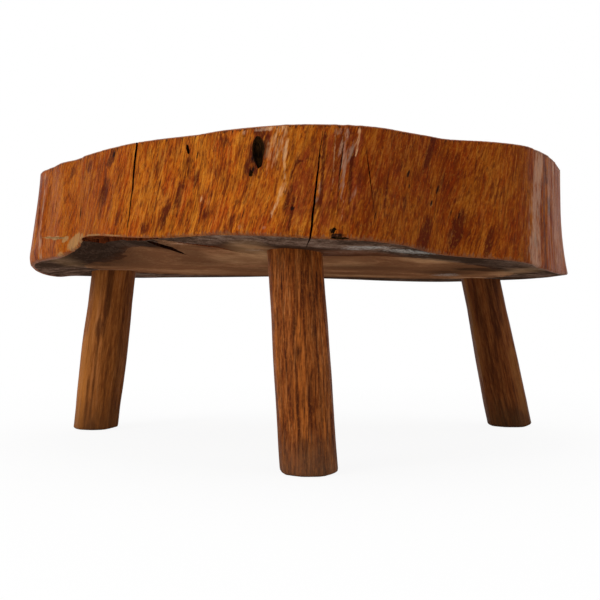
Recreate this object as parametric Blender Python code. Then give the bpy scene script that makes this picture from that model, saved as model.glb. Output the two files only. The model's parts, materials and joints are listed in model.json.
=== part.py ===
"""Tripod side table: a thick slice of a tree trunk with its grown edge left on, standing on
three hewn legs. Each leg ends in a round tenon, let into the underside of the slice with its
shoulder in a shallow seat. A wedge hidden in the blind mortise spreads each tenon.

Front is -Y, the floor is z = 0, and the origin lies under the middle of the table."""

import math
from typing import NamedTuple

import bmesh
import bpy
from mathutils import Matrix, Vector

# Overall sizes, in metres
HEIGHT = 0.350
SLAB_WIDTH = 0.711
SLAB_DEPTH = 0.629

# The slice: its underside is hewn to a shallow belly, thinnest near the left
THICKNESS_LEFT = 0.1205
THICKNESS_MIDDLE = 0.1235
THICKNESS_RIGHT = 0.134
WALL_LEAN = 0.015
FLUTE_DEPTH = 0.0016
TOP_ARRIS = 0.0025
LOWER_ARRIS = 0.0035
EDGE_LIFT = 0.024
LIFT_SPREAD = 0.190

# Joints between the legs and the slice
SEAT_DEPTH = 0.0055
TENON_DIAMETER = 0.038
TENON_LENGTH = 0.060
TENON_ROOT = 0.012
WEDGE_LENGTH = 0.042
WEDGE_HEAD = 0.006
WEDGE_TIP = 0.0015
FIT_GAP = 0.0003
CUT_OVERRUN = 0.010
SLIVER = 0.0001

# Legs: the thickest place of each pole
FRONT_LEG_DIAMETER = 0.0624
REAR_LEFT_LEG_DIAMETER = 0.0672
REAR_RIGHT_LEG_DIAMETER = 0.0664
FOOT_ARRIS = 0.0045
NECK_LENGTH = 0.022

# Splits that run in from the edge, the knot hollow, and what has broken out of the underside
LEFT_SPLIT_WIDTH = 0.0022
LEFT_SPLIT_DEPTH = 0.085
FRONT_SPLIT_WIDTH = 0.0026
FRONT_SPLIT_DEPTH = 0.062
SPLIT_TIP = 0.0005
KNOT_WIDTH = 0.012
KNOT_HEIGHT = 0.032
KNOT_DEPTH = 0.014
FISSURE_LENGTH = 0.085
FISSURE_WIDTH = 0.014
FISSURE_DEPTH = 0.018
LEDGE_LENGTH = 0.185
LEDGE_WIDTH = 0.016
LEDGE_HEIGHT = 0.0085
LEDGE_TIP = 0.002

# How finely the round shapes are divided
SLAB_SEGMENTS = 132
LEG_SEGMENTS = 27
BORE_SEGMENTS = 32
KNOT_SEGMENTS = 14
KNOT_RINGS = 9
ARRIS_STEPS = 2
FOOT_STEPS = 3

# The lower rim of the slice. Each row is a bearing in degrees, then shares: the reach from the
# middle as a share of the plain oval, the lean of the wall, the lift of the lower edge, and how
# far in that lift spreads. -90 is the front, 0 the right end and 90 the back.
RIM_SHARES = (
    (-177, 0.962, 0.93, 0.12, 0.60),
    (-169, 0.904, 0.67, 0.19, 0.85),
    (-161, 0.872, 0.50, 0.22, 1.00),
    (-156, 0.847, 0.40, 0.42, 1.00),
    (-152, 0.830, 0.33, 0.65, 1.00),
    (-149, 0.822, 0.27, 0.95, 1.00),
    (-140, 0.820, 0.27, 0.97, 1.00),
    (-131, 0.838, 0.27, 0.82, 1.00),
    (-120, 0.862, 0.33, 0.68, 1.00),
    (-110, 0.884, 0.33, 0.71, 1.00),
    (-105, 0.921, 0.33, 0.71, 1.00),
    (-99, 0.962, 0.33, 0.65, 1.00),
    (-91, 0.999, 0.33, 0.54, 1.00),
    (-83, 1.003, 0.33, 0.48, 1.00),
    (-79, 0.994, 0.33, 0.48, 1.00),
    (-75, 0.971, 0.27, 0.44, 1.00),
    (-70, 0.929, 0.27, 0.39, 1.00),
    (-65, 0.901, 0.27, 0.24, 1.00),
    (-59, 0.887, 0.33, 0.15, 0.85),
    (-50, 0.931, 0.33, 0.10, 0.55),
    (-43, 0.951, 0.30, 0.06, 0.40),
    (-36, 0.940, 0.23, -0.09, 0.33),
    (-27, 0.931, 0.23, -0.15, 0.33),
    (-15, 0.939, 0.45, -0.11, 0.33),
    (-3, 0.978, 0.70, 0.01, 0.33),
    (8, 1.011, 0.76, 0.10, 0.33),
    (19, 1.053, 0.66, 0.12, 0.33),
    (30, 1.098, 0.47, 0.11, 0.33),
    (40, 1.126, 0.40, 0.08, 0.33),
    (50, 1.143, 0.40, 0.01, 0.33),
    (58, 1.119, 0.40, -0.04, 0.33),
    (67, 1.026, 0.40, -0.06, 0.33),
    (75, 0.966, 0.40, -0.03, 0.33),
    (85, 0.947, 0.40, 0.01, 0.33),
    (96, 0.954, 0.40, 0.07, 0.33),
    (104, 1.004, 0.40, 0.03, 0.33),
    (112, 1.077, 0.40, -0.01, 0.33),
    (120, 1.126, 0.47, -0.06, 0.33),
    (129, 1.151, 0.53, -0.15, 0.33),
    (138, 1.150, 0.67, -0.14, 0.33),
    (148, 1.110, 0.80, -0.21, 0.33),
    (156, 1.067, 0.87, -0.36, 0.33),
    (165, 1.036, 1.00, -0.31, 0.33),
    (176, 1.000, 1.00, -0.08, 0.39),
)
WALL_LEVEL_SHARES = (1.0, 0.84, 0.67, 0.50, 0.34, 0.20, 0.09, 0.0)
UNDERSIDE_RING_SHARES = (0.95, 0.87, 0.76, 0.62, 0.46, 0.29, 0.12)
LIFT_FADE_POWER = 1.25

# How hollow the leaning wall is: a straight lean at the left end, a kick at the foot at the right
WALL_HOLLOW = 2.1
WALL_HOLLOW_SWING = 0.9

# The grown edge's flutes: waves round the trunk, turned by the lean of the grain, in degrees
FLUTE_WAVES = ((17, 0.0, 0.6), (29, 1.3, 0.4))
GRAIN_LEAN = 4.0

# Bearings and height shares of what marks the edge
LEFT_SPLIT_BEARINGS = (-125.5, -130.0)
FRONT_SPLIT_BEARINGS = (-86.0, -88.0)
KNOT_BEARING = -96.6
KNOT_HEIGHT_SHARE = 0.77
FISSURE_BEARING = -126.0
FISSURE_START_SHARE = 0.90
LEDGE_BEARINGS = (-148.5, -106.0)


class Leg(NamedTuple):
    """A pole: where its axis meets the seat and the floor, as shares of half the slice's width
    and depth, its girth from foot to shoulder, and how its flats and its wedge are turned."""

    name: str
    diameter: float
    head_shares: tuple
    foot_shares: tuple
    girth_shares: tuple
    flats: int
    flats_turn: float


LEGS = (
    Leg(
        "front",
        FRONT_LEG_DIAMETER,
        head_shares=(-0.006, -0.657),
        foot_shares=(0.037, -0.762),
        girth_shares=((0.13, 0.992), (0.32, 1.0), (0.50, 0.996), (0.68, 0.985), (0.80, 0.975)),
        flats=9,
        flats_turn=12.0,
    ),
    Leg(
        "rear_left",
        REAR_LEFT_LEG_DIAMETER,
        head_shares=(-0.746, 0.463),
        foot_shares=(-0.836, 0.545),
        girth_shares=((0.14, 0.965), (0.30, 0.992), (0.44, 1.0), (0.60, 0.985), (0.78, 0.950)),
        flats=9,
        flats_turn=31.0,
    ),
    Leg(
        "rear_right",
        REAR_RIGHT_LEG_DIAMETER,
        head_shares=(0.760, 0.555),
        foot_shares=(0.902, 0.658),
        girth_shares=((0.17, 0.982), (0.32, 0.956), (0.47, 0.935), (0.62, 0.908), (0.78, 0.858)),
        flats=9,
        flats_turn=5.0,
    ),
)
HEWN_SHARE = 0.55


def smooth_step_between(start, end, slope_in, slope_out, share):
    """A cubic from start to end that leaves and arrives with the given slopes."""
    turn = 3 * share**2 - 2 * share**3
    leave = share**3 - 2 * share**2 + share
    arrive = share**3 - share**2
    return start + (end - start) * turn + slope_in * leave + slope_out * arrive


def rim_at(bearing):
    """Reach, lean, lift and spread at a bearing, on smooth curves through the table's rows."""
    count = len(RIM_SHARES)
    following = sum(row[0] <= bearing for row in RIM_SHARES)
    rows = []
    for place in range(following - 2, following + 2):
        turns, index = divmod(place, count)
        row = RIM_SHARES[index]
        rows.append((row[0] + 360 * turns, row[1:]))
    (before, values_before), (start, values_start), (end, values_end), (after, values_after) = rows
    share = (bearing - start) / (end - start)
    found = []
    for w, x, y, z in zip(values_before, values_start, values_end, values_after):
        slope_in = (y - w) * (end - start) / (end - before)
        slope_out = (z - x) * (end - start) / (after - start)
        found.append(smooth_step_between(x, y, slope_in, slope_out, share))
    return found


def oval(bearing, share):
    """A point in plan on the slice's plain oval, scaled by the share."""
    turn = math.radians(bearing)
    x = SLAB_WIDTH / 2 * share * math.cos(turn)
    y = SLAB_DEPTH / 2 * share * math.sin(turn)
    return Vector((x, y))


def drawn_in(plan, length):
    """The point moved towards the middle by a length."""
    return plan * (1 - length / plan.length)


def belly_height(x):
    """Height of the hewn underside before its edges lift, from the three thicknesses."""
    across = 2 * x / SLAB_WIDTH
    tilt = (THICKNESS_RIGHT - THICKNESS_LEFT) / 2
    bow = (THICKNESS_RIGHT + THICKNESS_LEFT) / 2 - THICKNESS_MIDDLE
    return HEIGHT - THICKNESS_MIDDLE - tilt * across - bow * across**2


def underside_height(plan):
    """Height of the underside at a point in plan, with the lift that spreads in from the edge."""
    bearing = math.degrees(math.atan2(plan.y / SLAB_DEPTH, plan.x / SLAB_WIDTH))
    reach, _, lift, spread = rim_at(bearing)
    distance = oval(bearing, reach).length - plan.length
    fade = min(max(1 - distance / (LIFT_SPREAD * spread), 0), 1)
    return belly_height(plan.x) + EDGE_LIFT * lift * fade**LIFT_FADE_POWER


def flute(bearing, height_share):
    """How deep the edge's flutes are at a place, from 0 to 1. They lean as the grain does."""
    turn = math.radians(bearing - GRAIN_LEAN * height_share)
    waves = sum(part * math.sin(count * turn + phase) for count, phase, part in FLUTE_WAVES)
    return (1 + waves) / 2


def wall_point(bearing, height_share, inset=0, rise=0):
    """A point of the grown edge, between its lower and its top arris."""
    reach, lean, lift, _ = rim_at(bearing)
    rim = oval(bearing, reach)
    hollow = WALL_HOLLOW + WALL_HOLLOW_SWING * math.cos(math.radians(bearing))
    leaned = WALL_LEAN * lean * (1 - (1 - height_share) ** hollow)
    plan = drawn_in(rim, leaned + FLUTE_DEPTH * flute(bearing, height_share) + inset)
    low = belly_height(rim.x) + EDGE_LIFT * lift + LOWER_ARRIS
    z = low + (HEIGHT - TOP_ARRIS - low) * height_share + rise
    return Vector((plan.x, plan.y, z))


def around(point_at):
    """A closed ring of points, from a function of the bearing."""
    step = 360 / SLAB_SEGMENTS
    return [point_at(step * index - 180) for index in range(SLAB_SEGMENTS)]


def slab_rings():
    """The slice's rings, from the border of its flat top down the edge and in underneath."""
    rings = []
    for step in range(ARRIS_STEPS):
        turn = math.pi / 2 * step / ARRIS_STEPS
        inset = TOP_ARRIS * (1 - math.sin(turn))
        rise = TOP_ARRIS * math.cos(turn)
        rings.append(around(lambda bearing: wall_point(bearing, 1, inset, rise)))
    for share in WALL_LEVEL_SHARES:
        rings.append(around(lambda bearing: wall_point(bearing, share)))
    for step in range(1, ARRIS_STEPS + 1):
        turn = math.pi / 2 * step / ARRIS_STEPS
        inset = LOWER_ARRIS * (1 - math.cos(turn))
        fall = LOWER_ARRIS * math.sin(turn)
        rings.append(around(lambda bearing: wall_point(bearing, 0, inset, -fall)))
    edge = rings[-1]
    for share in UNDERSIDE_RING_SHARES:
        plans = [point.xy * share for point in edge]
        rings.append([Vector((plan.x, plan.y, underside_height(plan))) for plan in plans])
    return fitted(rings)


def fitted(rings):
    """The rings stretched a hair in plan, so that they just fill the stated width and depth."""
    points = [point for ring in rings for point in ring]
    for axis, size in ((0, SLAB_WIDTH), (1, SLAB_DEPTH)):
        low = min(point[axis] for point in points)
        high = max(point[axis] for point in points)
        for point in points:
            point[axis] = ((point[axis] - low) / (high - low) - 1 / 2) * size
    return rings


def lofted(bm, rings):
    """Skins the rings in their order and closes both ends."""
    loops = []
    for ring in rings:
        verts = [bm.verts.new(point) for point in ring]
        loops.append([bm.edges.new((a, b)) for a, b in zip(verts, verts[1:] + verts[:1])])
    for first, second in zip(loops, loops[1:]):
        bmesh.ops.bridge_loops(bm, edges=first + second)
    bmesh.ops.edgeloop_fill(bm, edges=loops[0])
    bmesh.ops.edgeloop_fill(bm, edges=loops[-1])
    bmesh.ops.recalc_face_normals(bm, faces=bm.faces)


def new_object(name, bm, collection):
    """An object from a finished bmesh, linked to a collection."""
    mesh = bpy.data.meshes.new(name)
    bm.to_mesh(mesh)
    bm.free()
    obj = bpy.data.objects.new(name, mesh)
    collection.objects.link(obj)
    return obj


def new_cutter(name, bm):
    """A cutter: kept out of renders and drawn as wires."""
    obj = new_object(name, bm, CUTTERS)
    obj.hide_render = True
    obj.display_type = "WIRE"
    return obj


def boolean(obj, cutter, operation="DIFFERENCE"):
    modifier = obj.modifiers.new(cutter.name, "BOOLEAN")
    modifier.operation = operation
    modifier.solver = "EXACT"
    modifier.object = cutter


def varnished_wood(name, colour, roughness):
    """A plain wood material in one colour."""
    material = bpy.data.materials.new(name)
    material.use_nodes = True
    shader = material.node_tree.nodes["Principled BSDF"]
    shader.inputs["Base Color"].default_value = (*colour, 1)
    shader.inputs["Roughness"].default_value = roughness
    shader.inputs["Metallic"].default_value = 0
    return material


class Axis:
    """A leg's line, from the middle of its foot on the floor to the middle of its shoulder."""

    def __init__(self, leg):
        half = Vector((SLAB_WIDTH / 2, SLAB_DEPTH / 2))
        head = Vector(leg.head_shares) * half
        foot = Vector(leg.foot_shares) * half
        self.shoulder = underside_height(head) + SEAT_DEPTH
        self.foot = Vector((foot.x, foot.y, 0))
        self.head = Vector((head.x, head.y, self.shoulder))
        self.direction = (self.head - self.foot).normalized()

    def at_height(self, z):
        return self.foot.lerp(self.head, z / self.shoulder)

    def placed(self, distance):
        """The place and turn of something centred at a distance up the axis from the shoulder."""
        turn = self.direction.to_track_quat("Z", "Y").to_matrix().to_4x4()
        return Matrix.Translation(self.head + self.direction * distance) @ turn

    def slice_offset(self, offset):
        """Stretches a level slice of the pole, so that the pole is round across its own axis."""
        lean = self.direction.xy
        if not lean.length:
            return offset
        along = lean.normalized()
        return offset + along * offset.dot(along) * (1 / self.direction.z - 1)


def hewn_share(turn, flats):
    """Radius share of a pole dressed to flats, at a turn round it: 1 on the arrises."""
    step = math.tau / flats
    from_middle = turn % step - step / 2
    flat = math.cos(step / 2) / math.cos(from_middle)
    return 1 - HEWN_SHARE * (1 - flat)


def pole_ring(leg, axis, z, radius):
    """A level slice of the pole."""
    middle = axis.at_height(z)
    ring = []
    for index in range(LEG_SEGMENTS):
        turn = math.tau * index / LEG_SEGMENTS
        reach = radius * hewn_share(turn, leg.flats)
        aim = turn + math.radians(leg.flats_turn)
        offset = axis.slice_offset(Vector((math.cos(aim), math.sin(aim))) * reach)
        ring.append(Vector((middle.x + offset.x, middle.y + offset.y, z)))
    return ring


def neck_radius(leg):
    return leg.diameter / 2 * leg.girth_shares[-1][1]


def pole_rings(leg, axis):
    """The pole from its eased foot to its shoulder. The neck that enters the seat stays even."""
    foot_radius = leg.diameter / 2 * leg.girth_shares[0][1]
    rings = []
    for step in range(FOOT_STEPS + 1):
        turn = math.pi / 2 * step / FOOT_STEPS
        inset = FOOT_ARRIS * (1 - math.sin(turn))
        rings.append(pole_ring(leg, axis, FOOT_ARRIS * (1 - math.cos(turn)), foot_radius - inset))
    for height_share, girth in leg.girth_shares:
        rings.append(pole_ring(leg, axis, axis.shoulder * height_share, leg.diameter / 2 * girth))
    rings.append(pole_ring(leg, axis, axis.shoulder - NECK_LENGTH, neck_radius(leg)))
    rings.append(pole_ring(leg, axis, axis.shoulder, neck_radius(leg)))
    return rings


def cylinder(matrix, radius, length):
    bm = bmesh.new()
    bmesh.ops.create_cone(
        bm,
        cap_ends=True,
        segments=BORE_SEGMENTS,
        radius1=radius,
        radius2=radius,
        depth=length,
        matrix=matrix,
    )
    return bm


def tapered_block(matrix, width, head, tip, length):
    """A wedge that points down its own Z: as wide all the way, and thinner at the tip."""
    bm = bmesh.new()
    bmesh.ops.create_cube(bm, size=1)
    for vert in bm.verts:
        thickness = head if vert.co.z > 0 else tip
        vert.co = Vector((vert.co.x * width, vert.co.y * thickness, vert.co.z * length))
    bm.transform(matrix)
    return bm


def box_between(corners_low, corners_high):
    """A six-sided solid from its four lower and four upper corners, each in the same order."""
    bm = bmesh.new()
    lofted(bm, (corners_low, corners_high))
    return bm


def make_leg(leg):
    """The pole with its tenon, and the kerf that its wedge opens."""
    axis = Axis(leg)
    bm = bmesh.new()
    lofted(bm, pole_rings(leg, axis))
    obj = new_object("leg_" + leg.name, bm, PARTS)
    length = TENON_ROOT + TENON_LENGTH
    middle = axis.placed((TENON_LENGTH - TENON_ROOT) / 2)
    tenon = new_cutter("tenon_" + leg.name, cylinder(middle, TENON_DIAMETER / 2, length))
    boolean(obj, tenon, "UNION")
    kerf_length = WEDGE_LENGTH + FIT_GAP
    kerf = tapered_block(
        axis.placed(TENON_LENGTH - kerf_length / 2),
        TENON_DIAMETER + CUT_OVERRUN,
        WEDGE_HEAD + 2 * FIT_GAP,
        WEDGE_TIP + 2 * FIT_GAP,
        kerf_length + FIT_GAP,
    )
    boolean(obj, new_cutter("kerf_" + leg.name, kerf))
    return obj


def make_wedge(leg):
    """The wedge, as wide as the tenon and flush with its end."""
    axis = Axis(leg)
    chord = 2 * math.sqrt((TENON_DIAMETER / 2) ** 2 - (WEDGE_HEAD / 2) ** 2)
    bm = tapered_block(
        axis.placed(TENON_LENGTH - WEDGE_LENGTH / 2),
        chord - 2 * FIT_GAP,
        WEDGE_HEAD,
        WEDGE_TIP,
        WEDGE_LENGTH,
    )
    return new_object("wedge_" + leg.name, bm, PARTS)


def cut_joint(slab, leg):
    """The seat for the leg's shoulder, and the blind mortise for its tenon."""
    axis = Axis(leg)
    seat = bmesh.new()
    radius = neck_radius(leg) + FIT_GAP
    mouth = axis.shoulder - NECK_LENGTH
    roof = axis.shoulder + FIT_GAP
    lofted(seat, (pole_ring(leg, axis, mouth, radius), pole_ring(leg, axis, roof, radius)))
    boolean(slab, new_cutter("seat_" + leg.name, seat))
    length = CUT_OVERRUN + TENON_LENGTH + FIT_GAP
    middle = axis.placed(length / 2 - CUT_OVERRUN)
    bore = cylinder(middle, TENON_DIAMETER / 2 + FIT_GAP, length)
    boolean(slab, new_cutter("mortise_" + leg.name, bore))


def cut_split(slab, name, bearings, width, depth):
    """A drying split through the whole edge: open at the bark side, closing towards the pith."""
    corners = []
    for bearing, share, rise in ((bearings[1], 0, -CUT_OVERRUN), (bearings[0], 1, CUT_OVERRUN)):
        outer = wall_point(bearing, share, 0, rise)
        inward = Vector((-outer.x, -outer.y, 0)).normalized()
        across = Vector((-inward.y, inward.x, 0))
        mouth = outer - inward * CUT_OVERRUN
        end = outer + inward * depth
        corners.append(
            (
                mouth + across * width / 2,
                mouth - across * width / 2,
                end - across * SPLIT_TIP / 2,
                end + across * SPLIT_TIP / 2,
            )
        )
    boolean(slab, new_cutter(name, box_between(*corners)))


def cut_knot(slab):
    """The hollow where a small branch rotted out."""
    centre = wall_point(KNOT_BEARING, KNOT_HEIGHT_SHARE)
    outward = Vector((centre.x, centre.y, 0)).normalized()
    turn = outward.to_track_quat("Z", "Y").to_matrix().to_4x4()
    size = Vector((KNOT_WIDTH / 2, KNOT_HEIGHT / 2, KNOT_DEPTH))
    bm = bmesh.new()
    bmesh.ops.create_uvsphere(bm, u_segments=KNOT_SEGMENTS, v_segments=KNOT_RINGS, radius=1)
    bmesh.ops.scale(bm, vec=size, verts=bm.verts)
    bm.transform(Matrix.Translation(centre) @ turn)
    boolean(slab, new_cutter("knot_hollow", bm))


def cut_fissure(slab):
    """A radial shake in the underside, wide near the edge and closing inwards."""
    reach = rim_at(FISSURE_BEARING)[0]
    start = oval(FISSURE_BEARING, reach * FISSURE_START_SHARE)
    inward = -start.normalized()
    across = Vector((-inward.y, inward.x))
    end = start + inward * FISSURE_LENGTH
    low = []
    high = []
    for place, width in ((start, FISSURE_WIDTH), (end, SPLIT_TIP)):
        floor = underside_height(place)
        for side in (across, -across):
            mouth = place + side * width / 2
            crown = place + side * width / 4
            low.append(Vector((mouth.x, mouth.y, floor - CUT_OVERRUN)))
            high.append(Vector((crown.x, crown.y, floor + FISSURE_DEPTH)))
    order = (0, 1, 3, 2)
    cutter = box_between([low[index] for index in order], [high[index] for index in order])
    boolean(slab, new_cutter("fissure", cutter))


def cut_ledge(slab):
    """The torn ledge: a splinter is gone from under the front left edge, thinning to the right."""
    thick, thin = (wall_point(bearing, 0, 0, -LOWER_ARRIS) for bearing in LEDGE_BEARINGS)
    along = (thin - thick).normalized()
    inward = Vector((-along.y, along.x, 0)).normalized()
    corners = []
    for place, height, width in (
        (thick, LEDGE_HEIGHT, LEDGE_WIDTH),
        (thick + along * LEDGE_LENGTH, LEDGE_TIP, LEDGE_WIDTH / 2),
    ):
        up = Vector((0, 0, height))
        fall = Vector((0, 0, LEDGE_HEIGHT + CUT_OVERRUN))
        outer = place - inward * (LEDGE_WIDTH + CUT_OVERRUN)
        inner = place + inward * width
        corners.append((outer + up, inner + up, inner - fall, outer - fall))
    boolean(slab, new_cutter("torn_ledge", box_between(*corners)))


def make_slab():
    """The slice, with its joints, its splits and its broken places."""
    bm = bmesh.new()
    lofted(bm, slab_rings())
    slab = new_object("slab", bm, PARTS)
    for leg in LEGS:
        cut_joint(slab, leg)
    cut_split(slab, "left_split", LEFT_SPLIT_BEARINGS, LEFT_SPLIT_WIDTH, LEFT_SPLIT_DEPTH)
    cut_split(slab, "front_split", FRONT_SPLIT_BEARINGS, FRONT_SPLIT_WIDTH, FRONT_SPLIT_DEPTH)
    cut_knot(slab)
    cut_fissure(slab)
    cut_ledge(slab)
    weld = slab.modifiers.new("close_slivers", "WELD")
    weld.merge_threshold = SLIVER
    return slab


def finish(obj, material, crease):
    """Gives a piece its material, and shades it smooth up to a crease angle."""
    obj.data.materials.append(material)
    obj.data.shade_smooth()
    obj.data.set_sharp_from_angle(angle=math.radians(crease))


for old in list(bpy.data.objects):
    bpy.data.objects.remove(old)
PARTS = bpy.data.collections.new("tripod_side_table")
CUTTERS = bpy.data.collections.new("cutters")
bpy.context.scene.collection.children.link(PARTS)
bpy.context.scene.collection.children.link(CUTTERS)

trunk_wood = varnished_wood("varnished_trunk_wood", (0.36, 0.095, 0.012), 0.38)
pole_wood = varnished_wood("varnished_pole_wood", (0.20, 0.058, 0.012), 0.45)
wedge_wood = varnished_wood("bare_wedge_wood", (0.45, 0.26, 0.11), 0.7)

finish(make_slab(), trunk_wood, 40)
for each in LEGS:
    finish(make_leg(each), pole_wood, 30)
    finish(make_wedge(each), wedge_wood, 30)
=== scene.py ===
"""Tripod side table, dressed: the trunk slice with its grown edge, its sawn top and its hewn
underside, on three hewn poles, under varnish. Front is -Y and the floor is z = 0, in metres."""

import json
import math
from bisect import bisect_right
from typing import NamedTuple

import bmesh
import bpy
import numpy as np
from mathutils import Matrix, Vector, noise

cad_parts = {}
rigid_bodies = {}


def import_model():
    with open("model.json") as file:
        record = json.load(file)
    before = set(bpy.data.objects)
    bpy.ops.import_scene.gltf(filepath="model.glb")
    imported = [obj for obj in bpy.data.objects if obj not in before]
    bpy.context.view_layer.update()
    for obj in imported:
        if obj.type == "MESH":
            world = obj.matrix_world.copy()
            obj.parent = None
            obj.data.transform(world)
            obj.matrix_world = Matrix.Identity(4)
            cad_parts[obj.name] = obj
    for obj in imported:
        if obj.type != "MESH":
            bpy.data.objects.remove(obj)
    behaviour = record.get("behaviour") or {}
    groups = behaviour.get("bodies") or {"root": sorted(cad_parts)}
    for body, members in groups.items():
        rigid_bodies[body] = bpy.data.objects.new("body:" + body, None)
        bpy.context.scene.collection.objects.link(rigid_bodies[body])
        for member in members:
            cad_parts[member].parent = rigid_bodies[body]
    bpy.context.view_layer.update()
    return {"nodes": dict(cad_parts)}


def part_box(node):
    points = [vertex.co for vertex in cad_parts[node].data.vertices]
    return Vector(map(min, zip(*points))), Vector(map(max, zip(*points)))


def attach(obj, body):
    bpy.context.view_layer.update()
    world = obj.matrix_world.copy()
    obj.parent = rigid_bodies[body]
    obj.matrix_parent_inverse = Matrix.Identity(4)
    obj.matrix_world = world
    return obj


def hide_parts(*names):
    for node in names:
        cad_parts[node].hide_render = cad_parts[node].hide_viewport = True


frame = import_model()

# The same sizes as the solids
HEIGHT = 0.350
SLAB_WIDTH = 0.711
SLAB_DEPTH = 0.629
THICKNESS_LEFT = 0.1205
THICKNESS_MIDDLE = 0.1235
THICKNESS_RIGHT = 0.134
WALL_LEAN = 0.015
WALL_HOLLOW = 2.1
WALL_HOLLOW_SWING = 0.9
EDGE_LIFT = 0.024
LIFT_SPREAD = 0.190
LIFT_FADE_POWER = 1.25
SEAT_DEPTH = 0.0055
TENON_DIAMETER = 0.038
TENON_LENGTH = 0.060
WEDGE_LENGTH = 0.042
WEDGE_HEAD = 0.006
WEDGE_TIP = 0.0015
FIT_GAP = 0.0003
FOOT_ARRIS = 0.0045

# The lower rim of the slice: bearing in degrees, then shares for reach, lean, lift and spread
RIM_SHARES = (
    (-177, 0.962, 0.93, 0.12, 0.60),
    (-169, 0.901, 0.67, 0.19, 0.85),
    (-161, 0.868, 0.50, 0.22, 1.00),
    (-156, 0.836, 0.40, 0.42, 1.00),
    (-152, 0.823, 0.33, 0.65, 1.00),
    (-149, 0.825, 0.27, 0.95, 1.00),
    (-140, 0.830, 0.27, 0.97, 1.00),
    (-131, 0.842, 0.27, 0.82, 1.00),
    (-120, 0.868, 0.33, 0.68, 1.00),
    (-110, 0.884, 0.33, 0.71, 1.00),
    (-105, 0.921, 0.33, 0.71, 1.00),
    (-99, 0.962, 0.33, 0.65, 1.00),
    (-91, 1.001, 0.33, 0.54, 1.00),
    (-83, 1.009, 0.33, 0.48, 1.00),
    (-79, 1.002, 0.33, 0.48, 1.00),
    (-75, 0.980, 0.27, 0.44, 1.00),
    (-70, 0.940, 0.27, 0.39, 1.00),
    (-65, 0.908, 0.27, 0.24, 1.00),
    (-59, 0.890, 0.33, 0.15, 0.85),
    (-50, 0.931, 0.33, 0.10, 0.55),
    (-45, 0.948, 0.31, 0.08, 0.45),
    (-42, 0.9545, 0.29, 0.05, 0.40),
    (-39.3, 0.9545, 0.26, 0.00, 0.37),
    (-36, 0.948, 0.23, -0.09, 0.33),
    (-27, 0.936, 0.23, -0.15, 0.33),
    (-15, 0.939, 0.28, -0.11, 0.33),
    (-3, 0.978, 0.62, 0.01, 0.33),
    (8, 1.011, 0.76, 0.10, 0.33),
    (19, 1.053, 0.66, 0.12, 0.33),
    (30, 1.098, 0.47, 0.11, 0.33),
    (40, 1.126, 0.40, 0.08, 0.33),
    (50, 1.143, 0.40, 0.01, 0.33),
    (58, 1.119, 0.40, -0.04, 0.33),
    (67, 1.026, 0.40, -0.06, 0.33),
    (75, 0.966, 0.40, -0.03, 0.33),
    (85, 0.947, 0.40, 0.01, 0.33),
    (96, 0.954, 0.40, 0.07, 0.33),
    (104, 1.004, 0.40, 0.03, 0.33),
    (112, 1.077, 0.40, -0.01, 0.33),
    (120, 1.126, 0.47, -0.06, 0.33),
    (129, 1.151, 0.53, -0.15, 0.33),
    (138, 1.150, 0.67, -0.14, 0.33),
    (148, 1.110, 0.80, -0.21, 0.33),
    (156, 1.067, 0.87, -0.36, 0.33),
    (165, 1.036, 1.00, -0.31, 0.33),
    (176, 1.000, 1.00, -0.08, 0.39),
)

# The flutes as waves: how many go round the trunk, their phase and their part in the depth
FLUTE_WAVES = ((17, 0.0, 0.6), (29, 1.3, 0.4))
FLUTE_DEPTH = 0.0016

# The step in the underside: x and y of its near edge, its height, its reach back, the share of
# that over which it fades, and the shares of its length over which its ends close. Its edge is
# ragged by so much, in waves of such a length. Where the step ends, the cutter's roof lies a
# little under the wood, and its foot lies well under it all along
STEP_LINE = (
    (-0.160, -0.236),
    (-0.1215, -0.2195),
    (-0.0885, -0.2025),
    (-0.0615, -0.1695),
    (-0.0335, -0.1755),
    (0.020, -0.185),
    (0.060, -0.190),
    (0.100, -0.200),
    (0.150, -0.205),
)
STEP_HEIGHT = 0.0022
STEP_REACH = 0.150
STEP_FADE = 0.8
STEP_ENDS = (0.12, 0.15)
STEP_RAGGED = 0.0012
STEP_WAVE = 0.012
STEP_SINK = 0.0006
STEP_DROP = 0.012

# Painted shadow just behind the step's edge, in the torn ledge's wood: how wide it is, and the x of its
# ends
STEP_SHADOW_WIDTH = 0.016
STEP_SHADOW_ENDS = (-0.125, -0.012)


class Pole(NamedTuple):
    """A leg: where its axis meets the seat and the floor, its girth as rows of height share and
    share of the diameter, its flats, how far its grain runs out, how far its right corner is worn
    up, and its strips: turn, half width in degrees, low and high share, strength."""

    name: str
    diameter: float
    head_shares: tuple
    foot_shares: tuple
    girth_shares: tuple
    flats: int
    flats_turn: float
    grain_slant: float
    foot_wear: float
    dark_strips: tuple
    light_strips: tuple


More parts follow.
